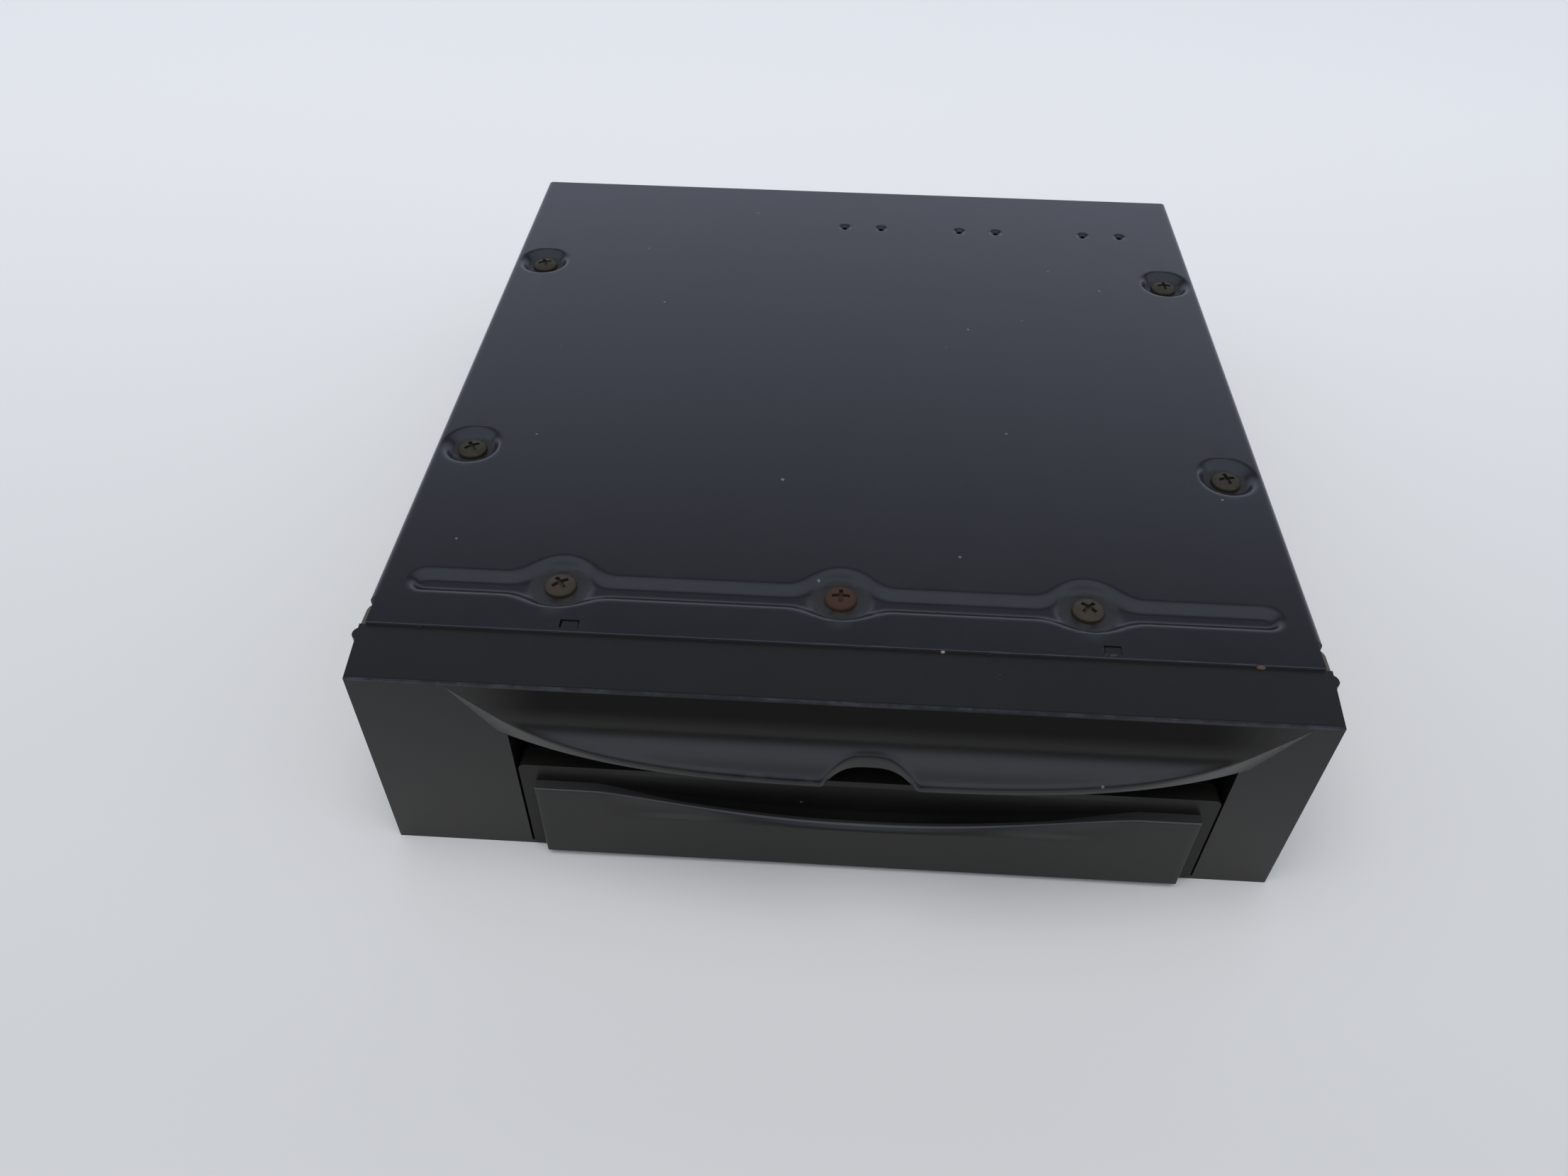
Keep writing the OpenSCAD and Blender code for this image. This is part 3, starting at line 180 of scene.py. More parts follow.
def number(name, description, default, subtype, **limits):
    """A number that the user can change."""
    return FloatProperty(name=name, description=description, default=default, subtype=subtype, **limits)


def share(name, description, default, top=1.0):
    """A number from 0 to top that the user can change."""
    return number(name, description, default, "FACTOR", min=0.0, max=top)


def length(name, description, default):
    """A length in metres that the user can change."""
    return number(name, description, default, "DISTANCE", unit="LENGTH", min=0.0, precision=5)


def angle(name, description, default):
    """An angle in radians that the user can change."""
    return number(name, description, default, "ANGLE", unit="ROTATION")


class CaseFinish(PropertyGroup):
    """Finish of the folded steel case and its screws."""

    paint: colour("Paint", "the cover's satin paint", (0.0068, 0.0071, 0.0080))
    paint_rough: share("Paint roughness", "Roughness of the satin paint", 0.24)
    paint_grain: length("Paint grain", "Size of the grain in the paint", 0.32 * MM)
    press_round: length("Pressing softness", "Width of the soft shoulders of the cover's pressings", 0.7 * MM)
    bare: colour("Bare steel", "the aged plating on the chassis", (0.150, 0.128, 0.088))
    rust: colour("Rust", "the rust on the screws", (0.055, 0.027, 0.015))
    grime: colour("Grime", "the dirt on the side screws", (0.012, 0.011, 0.0095))
    dust: colour("Dust", "the dirt in the pressings", (0.022, 0.020, 0.016))


class FrontFinish(PropertyGroup):
    """Finish of the moulded front and the magazine."""

    plastic: colour("Plastic", "the grained front", (0.0092, 0.0086, 0.0070))
    plastic_rough: share("Plastic roughness", "Roughness of the grained front", 0.34)
    gloss: share("Plastic gloss", "Specular level of the grained front", 0.36)
    lip_rough: share("Lip roughness", "Roughness of the lip's smooth hollow", 0.26)
    lip_gloss: share("Lip gloss", "Specular level of the lip's smooth floor and rim", 0.47)
    grain: length("Plastic grain", "Size of the moulded grain", 0.26 * MM)
    edge_round: length("Edge rounding", "Rounding of the moulded edges", 0.55 * MM)
    rim_round: length("Rim rounding", "Rounding of the lip's rim and of its notch", 1.5 * MM)
    # Wear with a painted highlight on the bezel's upper edge
    edge_wear_and_highlight: colour("Worn and highlit edge", "the rubbed edges", (0.030, 0.032, 0.040))
    # A painted highlight along the handle's upper edge
    edge: colour("Handle edge", "the handle's worn upper edge", (0.055, 0.056, 0.058))
    # A painted highlight on the handle's slope and towards the ends of its crease
    rub_and_highlight: colour("Handle highlight", "the handle where fingers rub it", (0.034, 0.033, 0.030))
    tray: colour("Tray", "the disc trays", (0.040, 0.042, 0.047))


class WorksFinish(PropertyGroup):
    """Finish of the pieces inside the case."""

    steel: colour("Steel", "the plain steel pieces", (0.42, 0.43, 0.45))
    white: colour("White plastic", "gears, guides and bearings", (0.62, 0.58, 0.48))
    brass: colour("Brass", "the motor pinions and contacts", (0.52, 0.35, 0.10))
    board: colour("Board", "the circuit boards", (0.020, 0.085, 0.035))
    dark: colour("Dark plastic", "sockets, pickup and chips", (0.013, 0.013, 0.015))
    rubber: colour("Rubber", "the dampers", (0.020, 0.015, 0.014))
    lens: colour("Lens", "the pickup's lens", (0.30, 0.48, 0.75))


class StageLook(PropertyGroup):
    """Floor, light and camera."""

    floor: colour("Floor", "the pale floor", (0.755, 0.745, 0.688))
    sky: colour("Sky", "the soft light all round", (0.74, 0.80, 1.0))
    sky_level: share("Sky level", "Strength of the light all round", 1.0, top=4.0)
    lamp_watts: number("Lamp", "Power of the soft lamp over the front", 30.0, "POWER", unit="POWER", min=0.0)
    lens: number("Lens", "Focal length of the camera", 27.475, "DISTANCE_CAMERA", min=1.0)
    eye: FloatVectorProperty(
        name="Eye", description="Place of the camera", subtype="TRANSLATION", unit="LENGTH", size=3,
        default=(-0.00309, -0.23844, 0.20946),
    )
    azimuth: angle("Azimuth", "Turn of the camera round the object", math.radians(2.7492))
    elevation: angle("Elevation", "Height angle of the camera", math.radians(44.4187))
    roll: angle("Roll", "Tilt of the camera's frame", 0.0137)


def solid(tint, scale=1.0):
    """A colour with its fourth value, made lighter or darker."""
    return (*[channel * scale for channel in tint], 1.0)


class Bench:
    """Adds and joins the nodes of one material or world."""

    def __init__(self, tree):
        self.tree = tree
        tree.nodes.clear()

    def add(self, kind, values=None, **settings):
        """A new node with these settings and inputs."""
        node = self.tree.nodes.new(kind)
        for name, value in settings.items():
            setattr(node, name, value)
        self.feed(node, values or {})
        return node

    def feed(self, node, values):
        """Joins a node's inputs to outputs, or sets them to plain values."""
        for socket, value in values.items():
            if isinstance(value, bpy.types.NodeSocket):
                self.tree.links.new(value, node.inputs[socket])
            else:
                node.inputs[socket].default_value = value

    def math(self, operation, first, second=0.0):
        return self.add("ShaderNodeMath", {0: first, 1: second}, operation=operation).outputs[0]

    def times(self, first, *others):
        for other in others:
            first = self.math("MULTIPLY", first, other)
        return first

    def off(self, value, middle):
        """How far a value lies to either side of a middle."""
        return self.math("ABSOLUTE", self.math("SUBTRACT", value, middle))

    def smooth(self, value, low, high):
        """A smooth step from 0 at low to 1 at high; low may be the larger one."""
        values = {"Value": value, "From Min": low, "From Max": high}
        return self.add("ShaderNodeMapRange", values, interpolation_type="SMOOTHSTEP").outputs[0]

    def past(self, value, low, high, level=0.0):
        """A smooth step between two distances, in millimetres, from a level in metres."""
        return self.smooth(value, level + low * MM, level + high * MM)

    def mix(self, factor, first, second):
        """A colour between two others."""
        values = {0: factor, 6: first, 7: second}
        return self.add("ShaderNodeMix", values, data_type="RGBA").outputs[2]

    def shades(self, factor, tint, first, second):
        """A colour between two shades of a tint."""
        return self.mix(factor, solid(tint, first), solid(tint, second))

    def blend(self, factor, first, second):
        """A number between two others."""
        values = {0: factor, 2: first, 3: second}
        return self.add("ShaderNodeMix", values, data_type="FLOAT").outputs[0]

    def ramp(self, value, stops):
        """A colour ramp with these pairs of position and colour."""
        node = self.add("ShaderNodeValToRGB", {"Fac": value})
        elements = node.color_ramp.elements
        elements[0].position, elements[0].color = stops[0]
        elements[1].position, elements[1].color = stops[-1]
        for position, tone in stops[1:-1]:
            elements.new(position).color = tone
        return node.outputs["Color"]

    def split(self, vector):
        return self.add("ShaderNodeSeparateXYZ", {0: vector}).outputs

    def bump(self, height, strength, distance):
        values = {"Height": height, "Strength": strength, "Distance": distance * MM}
        return self.add("ShaderNodeBump", values).outputs["Normal"]


class Surface(Bench):
    """The bench of a new material with a Principled shader."""

    def __init__(self, name):
        self.material = bpy.data.materials.new(name)
        self.material.use_nodes = True
        super().__init__(self.material.node_tree)
        self.shader = self.add("ShaderNodeBsdfPrincipled")
        self.add("ShaderNodeOutputMaterial", {"Surface": self.shader.outputs["BSDF"]})
        self.place = self.add("ShaderNodeTexCoord").outputs["Object"]
        self.axes = self.split(self.place)

    def noise(self, size, detail=2.0, rough=0.5, place=None):
        """Soft noise whose features are about size millimetres wide."""
        values = {"Vector": place or self.place, "Scale": 1.0 / (size * MM), "Detail": detail}
        return self.add("ShaderNodeTexNoise", {**values, "Roughness": rough}).outputs["Fac"]

    def patches(self, size, detail, rough, low, high):
        """Noise with its values drawn to 0, below low, or 1, above high."""
        return self.smooth(self.noise(size, detail, rough), low, high)

    def specks(self, pitch, size, amount):
        """1 on small dots up to size millimetres, in a share of the cells of a pitch-wide pattern."""
        values = {"Vector": self.place, "Scale": 1.0 / (pitch * MM)}
        cells = self.add("ShaderNodeTexVoronoi", values, feature="F1")
        pick = self.split(cells.outputs["Color"])
        inside = self.math("LESS_THAN", cells.outputs["Distance"], self.times(pick[1], size / pitch))
        return self.times(inside, self.math("LESS_THAN", pick[0], amount))

    def close_to(self, point, radius):
        """1 near a point of the frame, fading out at the radius."""
        gap = self.add("ShaderNodeVectorMath", {0: self.place, 1: point}, operation="DISTANCE")
        return self.smooth(gap.outputs["Value"], radius, radius * 0.5)

    def finish(self, tone, rough, **others):
        """Sets the shader's colour, roughness and other inputs, and gives the material."""
        self.feed(self.shader, {"Base Color": tone, "Roughness": rough, **others})
        return self.material


def painted_steel(finish):
    """Satin black paint with a fine grain, faint clouds, dust, dirt in the pressings, and rubbed edges with a
    painted highlight along the front edge.
    """
    bench = Surface("cover_paint")
    x, y, z = bench.axes
    across = bench.math("ABSOLUTE", x)
    tone = bench.shades(bench.noise(55, 4.0, 0.55), finish.paint, 0.8, 1.25)
    grain = bench.noise(finish.paint_grain / MM, 3.0, 0.6)
    tone = bench.mix(bench.times(grain, 0.35), tone, solid(finish.paint, 2.2))

    inside = bench.past(across, -1.2, -1.6, COVER_SIDE)
    deep = bench.past(z, -1.35, -1.8, COVER_TOP)
    thick = bench.blend(bench.patches(2.2, 4.0, 0.6, 0.38, 0.62), 0.25, 0.9)
    dirt = bench.times(deep, inside, thick)
    tone = bench.mix(dirt, tone, solid(finish.dust))
    dust = bench.specks(7, 0.42, 0.42)
    tone = bench.mix(bench.times(dust, 0.55), tone, DUST_SPECK)
    tone = bench.mix(bench.specks(23, 0.7, 0.5), tone, PAINT_PIT)

    # The front edge's even lighter line is worn paint with a painted highlight; the side rims get chipped
    # paint.
    edge = bench.past(y, 0.28, 0.05, COVER_FRONT)
    rim = bench.past(across, -0.35, -0.05, COVER_SIDE)
    top = bench.past(z, -1.1, -0.5, COVER_TOP)
    chips = bench.patches(5, 5.0, 0.7, 0.60, 0.68)
    worn_and_highlit = bench.math("MAXIMUM", bench.times(edge, 0.35), bench.times(rim, top, chips))
    tone = bench.mix(worn_and_highlit, tone, PAINT_CHIP_AND_HIGHLIGHT)

    streaks = bench.noise(14, 5.0, 0.65)
    rough = bench.blend(streaks, finish.paint_rough - 0.05, finish.paint_rough + 0.07)
    return bench.finish(tone, bench.blend(dirt, rough, 0.9), Normal=bench.bump(grain, 0.16, 0.06))


def aged_plating(finish):
    """Zinc plate gone dull, with brown stains."""
    bench = Surface("zinc_steel")
    clouds = bench.noise(18, 5.0, 0.6)
    stains = bench.patches(7, 6.0, 0.65, 0.56, 0.70)
    tone = bench.shades(clouds, finish.bare, 0.75, 1.3)
    tone = bench.mix(bench.times(stains, 0.6), tone, solid(finish.rust, 0.9))
    brushed = bench.bump(bench.noise(0.5, 3.0, 0.6), 0.1, 0.05)
    return bench.finish(tone, bench.blend(clouds, 0.42, 0.62), Metallic=0.75, Normal=brushed)


def rusty_screw(name, stain):
    """Screw heads of dull zinc with uneven rust or grime, which covers a screw in the middle altogether."""
    bench = Surface(name)
    spread = bench.noise(26, 1.0)
    patches = bench.noise(0.9, 6.0, 0.7)
    amount = bench.smooth(bench.math("ADD", patches, bench.times(spread, 0.6)), 0.55, 0.95)
    middle = bench.past(bench.math("ABSOLUTE", bench.axes[0]), 22, 18)
    amount = bench.blend(middle, bench.times(amount, 0.35), 1.0)
    tone = bench.mix(amount, DULL_ZINC, solid(stain))
    pits = bench.patches(0.35, 4.0, 0.7, 0.55, 0.72)
    tone = bench.mix(bench.times(pits, 0.7), tone, SCREW_PIT)
    pitted = bench.bump(patches, 0.5, 0.12)
    return bench.finish(tone, bench.blend(amount, 0.5, 0.85), Metallic=0.35, Normal=pitted)


def grained_plastic(name, finish, rough, gloss, marks=None, dull=None, relief=GRAIN_RELIEF):
    """Finely grained plastic with lint, marks of wear, painted shade and painted highlight that change its
    tone, and duller places.
    """
    bench = Surface(name)
    clouds = bench.noise(40, 4.0, 0.6)
    tone = bench.shades(clouds, finish.plastic, 0.8, 1.25)
    grain = bench.noise(finish.grain / MM, 2.0, 0.7)
    tone = bench.mix(bench.times(grain, 0.30), tone, solid(finish.plastic, 2.4))
    lint = bench.specks(9, 0.34, 0.40)
    tone = bench.mix(bench.times(lint, 0.6), tone, LINT)
    # The marks paint shade and highlight as well as wear.
    if marks:
        tone = marks(bench, tone, finish)
    rough = bench.blend(clouds, rough - 0.05, rough + 0.06)
    bench.finish(tone, rough, Normal=bench.bump(grain, relief, 0.07), **{"Specular IOR Level": gloss})
    if dull:
        level = bench.blend(dull(bench), gloss, DULL_GLOSS * gloss)
        bench.feed(bench.shader, {"Specular IOR Level": level})
    return bench.material


def bezel_shade_and_worn_edge(bench, tone, finish):
    """Paints shade on the bezel, darker towards its top, rubs its upper edge lighter with wear and a painted
    highlight, and paints two fine dark lines of shade beside it.
    """
    _, y, z = bench.axes
    # Painted shade: the bezel is lighter at the bottom and darker towards its top.
    height = bench.past(z, 6, 47)
    tone = bench.mix(0.7, tone, bench.shades(height, finish.plastic, 2.0, 0.7))
    # The upper edge's lighter band is wear with a painted highlight.
    near_top = bench.past(z, -0.9, -0.25, BEZEL_TOP)
    near_face = bench.past(y, 0.8, 0.2, BEZEL_FACE)
    nicks = bench.blend(bench.patches(3.5, 6.0, 0.7, 0.42, 0.66), 0.15, 0.9)
    tone = bench.mix(bench.times(near_top, near_face, nicks), tone, solid(finish.edge_wear_and_highlight))
    # Painted shade: two fine dark lines beside the upper edge.
    behind = bench.past(bench.off(y, BEZEL_FACE + 0.65 * MM), 0.14, 0.06)
    below = bench.past(bench.off(z, BEZEL_TOP - 0.65 * MM), 0.14, 0.06)
    on_top = bench.past(z, -0.2, -0.1, BEZEL_TOP)
    on_face = bench.past(y, 0.2, 0.1, BEZEL_FACE)
    lines = bench.math("MAXIMUM", bench.times(behind, on_top), bench.times(below, on_face))
    return bench.mix(lines, tone, EDGE_SHADE_LINE)


def high_in_hollow(bench):
    """1 on the upper wall of the lip's hollow, fading out towards its floor and its two tips."""
    x, _, z = bench.axes
    between_tips = bench.past(bench.off(x, NOTCH_X), 76, 58)
    return bench.times(bench.past(z, 40, 45), between_tips)


def hollow_shade_and_rubbed_rim(bench, tone, finish):
    """Paints shade on the lip's upper hollow, and rubs dark patches on its rim and on the notch's two
    corners.
    """
    x, y, _ = bench.axes
    # Painted shade: the lip's upper hollow is darker.
    tone = bench.mix(high_in_hollow(bench), tone, solid(finish.plastic, 0.75))
    rim = bench.past(y, 1.4, 0.5, LIP_FRONT)
    middle = bench.times(bench.past(x, -34, -20), bench.past(x, 20, 12))
    shiny = bench.patches(3.0, 4.0, 0.65, 0.40, 0.56)
    rub_and_highlight = bench.times(rim, middle, shiny)
    for away in both(SPOT.away * MM):
        corner = (NOTCH_X + away, BEZEL_FACE - SPOT.forward * MM, COVER_TOP - SPOT.down * MM)
        rub_and_highlight = bench.math("MAXIMUM", rub_and_highlight, bench.close_to(corner, SPOT.radius * MM))
    return bench.mix(bench.times(rub_and_highlight, 0.85), tone, RUBBED_BLACK)


def handle_painted_highlight(bench, tone, finish):
    """Paints a highlight on the handle, lighter on its slope and towards both ends of the crease."""
    x, y, z = bench.axes
    front = BEZEL_FACE - HANDLE.front * MM
    # Painted highlight: the slope is lighter.
    slope = bench.past(y, 0.03, 0.5, front)
    tone = bench.mix(bench.times(slope, 0.8), tone, solid(finish.rub_and_highlight))
    away = bench.off(x, NOTCH_X)
    # Painted highlight: a streak towards both ends of the crease.
    run = bench.times(bench.past(away, 20, 33), bench.past(away, 46, 36))
    height = bench.off(z, (SCOOP.crease + SCOOP.streak) * MM)
    streak = bench.times(run, bench.past(height, 1.3, 0.2))
    return bench.mix(bench.times(streak, 0.9), tone, solid(finish.rub_and_highlight))


def plain_plastic(name, tint, rough, grain_size, relief):
    """Smooth or matt plastic with slight unevenness."""
    bench = Surface(name)
    clouds = bench.noise(12, 3.0)
    tone = bench.shades(clouds, tint, 0.85, 1.15)
    normal = bench.bump(bench.noise(grain_size, 2.0), relief, 0.05)
    return bench.finish(tone, bench.blend(clouds, rough - 0.06, rough + 0.06), Normal=normal)


def plain_metal(name, tint, rough):
    """Rolled or turned metal with a fine lay."""
    bench = Surface(name)
    clouds = bench.noise(9, 4.0, 0.6)
    tone = bench.shades(clouds, tint, 0.82, 1.1)
    stretched = bench.add("ShaderNodeMapping", {"Vector": bench.place, "Scale": (1.0, 0.06, 1.0)})
    lay = bench.noise(0.25, 2.0, place=stretched.outputs["Vector"])
    rough = bench.blend(clouds, rough - 0.06, rough + 0.08)
    return bench.finish(tone, rough, Metallic=1.0, Normal=bench.bump(lay, 0.08, 0.04))


def circuit_board(finish):
    """Green laminate with pale solder dots and faint tracks."""
    bench = Surface("board")
    lines = bench.math("FRACT", bench.times(bench.axes[0], 1 / (2.5 * MM)))
    blocks = bench.patches(12, 1.0, 0.5, 0.50, 0.53)
    tracks = bench.times(bench.math("GREATER_THAN", lines, 0.72), blocks)
    solder = bench.specks(2.6, 1.1, 0.5)
    tone = bench.mix(solder, bench.shades(tracks, finish.board, 1.0, 1.7), SOLDER)
    return bench.finish(tone, 0.38, Metallic=solder)


def clear_lens(finish):
    """The pickup's lens: clear plastic with a blue coating."""
    bench = Surface("lens")
    tone = bench.shades(bench.noise(2, 2.0), finish.lens, 0.9, 1.1)
    return bench.finish(tone, 0.04, **{"Coat Weight": 1.0, "Coat Roughness": 0.03})


def coat(mesh, material):
    """Gives a mesh from the CAD one material in place of its own."""
    mesh.materials.clear()
    mesh.materials.append(material)


def dress(node, material):
    """Gives a CAD node one material."""
    coat(frame["nodes"][node].data, material)


def placed(name, data):
    """A new object in the scene."""
    piece = bpy.data.objects.new(name, data)
    bpy.context.scene.collection.objects.link(piece)
    return piece


def smooth_mesh(name, points, faces):
    """A new mesh with smooth shading."""
    mesh = bpy.data.meshes.new(name)
    mesh.from_pydata(points, [], faces)
    mesh.polygons.foreach_set("use_smooth", [True] * len(mesh.polygons))
    return mesh


def round_edges(piece, width, segments, sharp):
    """Adds a rounding to the edges that turn by more than an angle in degrees."""
    bevel = piece.modifiers.new("Edge rounding", "BEVEL")
    bevel.width = width
    bevel.segments = segments
    bevel.limit_method = "ANGLE"
    bevel.angle_limit = math.radians(sharp)


def soften(piece, width, segments=3):
    """Rounds a piece's sharp edges with modifiers, leaving its own mesh as it is."""
    weld = piece.modifiers.new("Weld", "WELD")
    weld.merge_threshold = WELD * MM
    flat = piece.modifiers.new("Flat faces", "DECIMATE")
    flat.decimate_type = "DISSOLVE"
    flat.angle_limit = math.radians(0.8)
    round_edges(piece, width, segments, SHARP.moulded)
    piece.modifiers.new("Even shading", "WEIGHTED_NORMAL").weight = 60


def eased(t):
    """0 to 1 with level ends."""
    t = min(1.0, max(0.0, t))
    return t * t * t * (t * (6 * t - 15) + 10)


def both(value):
    """The same distance to the left and to the right."""
    return (-value, value)


def wall(gap, depth, soft):
    """Share of a pressing's depth at a gap from its rim, below 0 inside, with soft shoulders."""
    return eased((soft - gap) / (SHEET.wall_run * depth + 2 * soft))


def pair_places():
    """Middles of the six small holes along x."""
    return [middle + side for middle in PAIR.x for side in both(PAIR.pitch / 2)]


def pressed(x, v, soft):
    """Depth of the cover's pressings at a point, in millimetres."""
    along = max(abs(x) - GROOVE.half + GROOVE.width / 2, 0.0)
    groove = math.hypot(along, v - GROOVE.v) - GROOVE.width / 2
    boss = min(math.hypot(x - middle, v - BOSS.v) for middle in BOSS.x) - BOSS.radius
    meet = max(SHEET.merge - abs(groove - boss), 0.0) / SHEET.merge
    joined = min(groove, boss) - meet * meet * SHEET.merge / 4
    depth = GROOVE.depth * wall(joined, GROOVE.depth, soft)
    depth += (BOSS.depth - GROOVE.depth) * wall(boss, BOSS.depth, soft)
    dimple = min(math.hypot(abs(x) - DIMPLE.x, v - middle) for middle in DIMPLE.v) - DIMPLE.radius
    depth += DIMPLE.depth * wall(dimple, DIMPLE.depth, soft)
    hole = min(math.hypot(x - middle, v - PAIR.v) for middle in pair_places())
    return depth + PAIR.depth * eased((PAIR.radius - hole) / (PAIR.radius - PAIR.hole))


def bands(middles, half, step):
    """Bands of close grid lines: middle, half width and step, the last two the same for all."""
    return [(middle, half, step) for middle in middles]


def rulings(low, high, coarse, close):
    """Grid lines from low to high, close together within the bands."""
    marks = [low, high]
    for middle, half, step in close:
        count = max(1, round(2 * half / step))
        marks += [middle - half + 2 * half * k / count for k in range(count + 1)]
    lines = [low]
    for mark in sorted(mark for mark in marks if low <= mark <= high):
        gap = mark - lines[-1]
        if gap < LEAST_GAP:
            continue
        count = math.ceil(gap / coarse)
        lines += [mark - gap + gap * (k + 1) / count for k in range(count)]
    lines[-1] = high
    return lines


def bolt_holes():
    """Bolt holes in the cover's walls, as side, place back from its front edge, height and radius."""
    holes = []
    for mount in frame["record"]["mounts"]:
        if mount["kind"] != "bolt_pattern":
            continue
        x, y, z = mount["pos_m"]
        for away in both(mount["dims"]["spacing_x_mm"] / 2):
            place = (y - COVER_FRONT) / MM + away
            holes.append((math.copysign(1, x), place, z / MM, mount["dims"]["hole_r_mm"]))
    return holes


def cover_columns(bolts):
    """The cover's grid lines round from its left edge to its right one, as pairs of region and place."""
    flat = COVER_SIDE / MM - SHEET.fold
    window = WINDOW.wide / 2
    close = [
        *bands(BOSS.x, BAND.boss, STEP.press),
        *bands(both(GROOVE.half - BAND.end / 2), BAND.end, STEP.press),
        *bands(both(DIMPLE.x), DIMPLE.radius + BAND.margin, STEP.press),
        *bands(pair_places(), BAND.pair, STEP.pair),
        *bands(both(WINDOW.x), window, window),
    ]
    top = [("top", x) for x in rulings(-flat, flat, STEP.plain, close)]
    close = [(bolts[0][2], BAND.bolt, STEP.bolt)]
    heights = rulings(SHEET.skirt, COVER_TOP / MM - SHEET.fold, STEP.wall, close)
    left = [("left", z) for z in heights]
    left += [("left fold", math.pi / 2 * k / FOLD_STEPS) for k in range(1, FOLD_STEPS)]
    right = [(region.replace("left", "right"), place) for region, place in reversed(left)]
    return left + top + right


def cover_rows(bolts):
    """The cover's grid lines from its front edge to its back."""
    window = WINDOW.deep / 2
    close = [
        (GROOVE_BAND_V, BAND.groove, STEP.groove),
        (PAIR.v, BAND.pair, STEP.pair),
        (WINDOW.v, window, window),
        *bands(DIMPLE.v, DIMPLE.radius + BAND.margin, STEP.press),
        *bands([place for _, place, _, _ in bolts], BAND.bolt, STEP.bolt),
    ]
    front = rulings(0.0, SHEET.ear, STEP.ear, close)
    back = rulings(SHEET.ear, (COVER_HIGH.y - COVER_FRONT) / MM, STEP.plain, close)
    return sorted({*front, *back})


def cover_corner(column, v, soft):
    """A point of the cover's outer face, in millimetres."""
    region, place = column
    half = COVER_SIDE / MM
    top = COVER_TOP / MM
    fold = SHEET.fold
    if region == "top":
        return Vector((place, v, top - pressed(place, v, soft)))
    side = -1 if "left" in region else 1
    if "fold" in region:
        out = half - fold + fold * math.cos(place)
        return Vector((side * out, v, top - fold * (1 - math.sin(place))))
    return Vector((side * half, v, place))


def hole_at(point, bolts):
    """The hole that a point of the cover lies in, as its middle, its radius and its axis, or None."""
    if abs(point.x) > COVER_SIDE / MM - 0.01:
        for side, place, z, radius in bolts:
            if point.x * side > 0 and math.hypot(point.y - place, point.z - z) < radius:
                return Vector((point.x, place, z)), radius, 0
    for middle in pair_places():
        if math.hypot(point.x - middle, point.y - PAIR.v) < PAIR.hole:
            return Vector((middle, PAIR.v, 0.0)), PAIR.hole, 2
    across = abs(abs(point.x) - WINDOW.x) < WINDOW.wide / 2
    if across and abs(point.y - WINDOW.v) < WINDOW.deep / 2:
        return point, 0.0, 2
    return None


def sheet_cover(soft):
    """The folded and pressed cover as one smooth sheet of real thickness."""
    bolts = bolt_holes()
    columns = cover_columns(bolts)
    rows = cover_rows(bolts)
    corners = [[cover_corner(column, v, soft) for v in rows] for column in columns]
    faces = []
    rims = {}
    for i in range(len(columns) - 1):
        on_top = columns[i][0] == columns[i + 1][0] == "top"
        for j in range(len(rows) - 1):
            quad = [(i, j), (i + 1, j), (i + 1, j + 1), (i, j + 1)]
            middle = sum((corners[a][b] for a, b in quad), Vector()) / 4
            if middle.y < SHEET.ear and not on_top:
                continue
            hole = hole_at(middle, bolts)
            if hole is None:
                faces.append(quad)
            elif hole[1] > 0:
                rims.update({key: hole for key in quad})

    # The corners round a hole move onto its circle
    used = {key for face in faces for key in face}
    for (i, j), (middle, radius, axis) in rims.items():
        point = corners[i][j]
        away = point - middle
        away[axis] = 0.0
        if (i, j) in used and away.length > 0.01:
            moved = middle + away.normalized() * radius
            moved[axis] = point[axis]
            corners[i][j] = moved
    order = {key: number for number, key in enumerate(sorted(used))}
    points = [(x * MM, COVER_FRONT + v * MM, z * MM) for x, v, z in (corners[i][j] for i, j in order)]
    mesh = smooth_mesh("cover_sheet", points, [[order[key] for key in face] for face in faces])
    sheet = placed("cover_sheet", mesh)
    body = sheet.modifiers.new("Sheet", "SOLIDIFY")
    body.thickness = SHEET.thick * MM
    body.offset = -1.0
    body.use_even_offset = True
    round_edges(sheet, SHEET.cut * MM, 2, SHARP.sheet)
    sheet.modifiers.new("Even shading", "WEIGHTED_NORMAL")
    return sheet


def cut_flush(node, name, forward):
    """A copy of a front piece, cut off at a distance forward of the bezel's face."""
    mesh = frame["nodes"][node].data.copy()
    work = bmesh.new()
    work.from_mesh(mesh)
    bmesh.ops.remove_doubles(work, verts=work.verts, dist=WELD * MM)
    cut = bmesh.ops.bisect_plane(
        work, geom=[*work.verts, *work.edges, *work.faces], dist=0.001 * MM,
        plane_co=(0.0, BEZEL_FACE - forward, 0.0), plane_no=(0.0, -1.0, 0.0), clear_outer=True,
    )
    rims = [item for item in cut["geom_cut"] if isinstance(item, bmesh.types.BMEdge)]
    bmesh.ops.edgenet_fill(work, edges=rims)
    work.to_mesh(mesh)
    work.free()
    return placed(name, mesh)


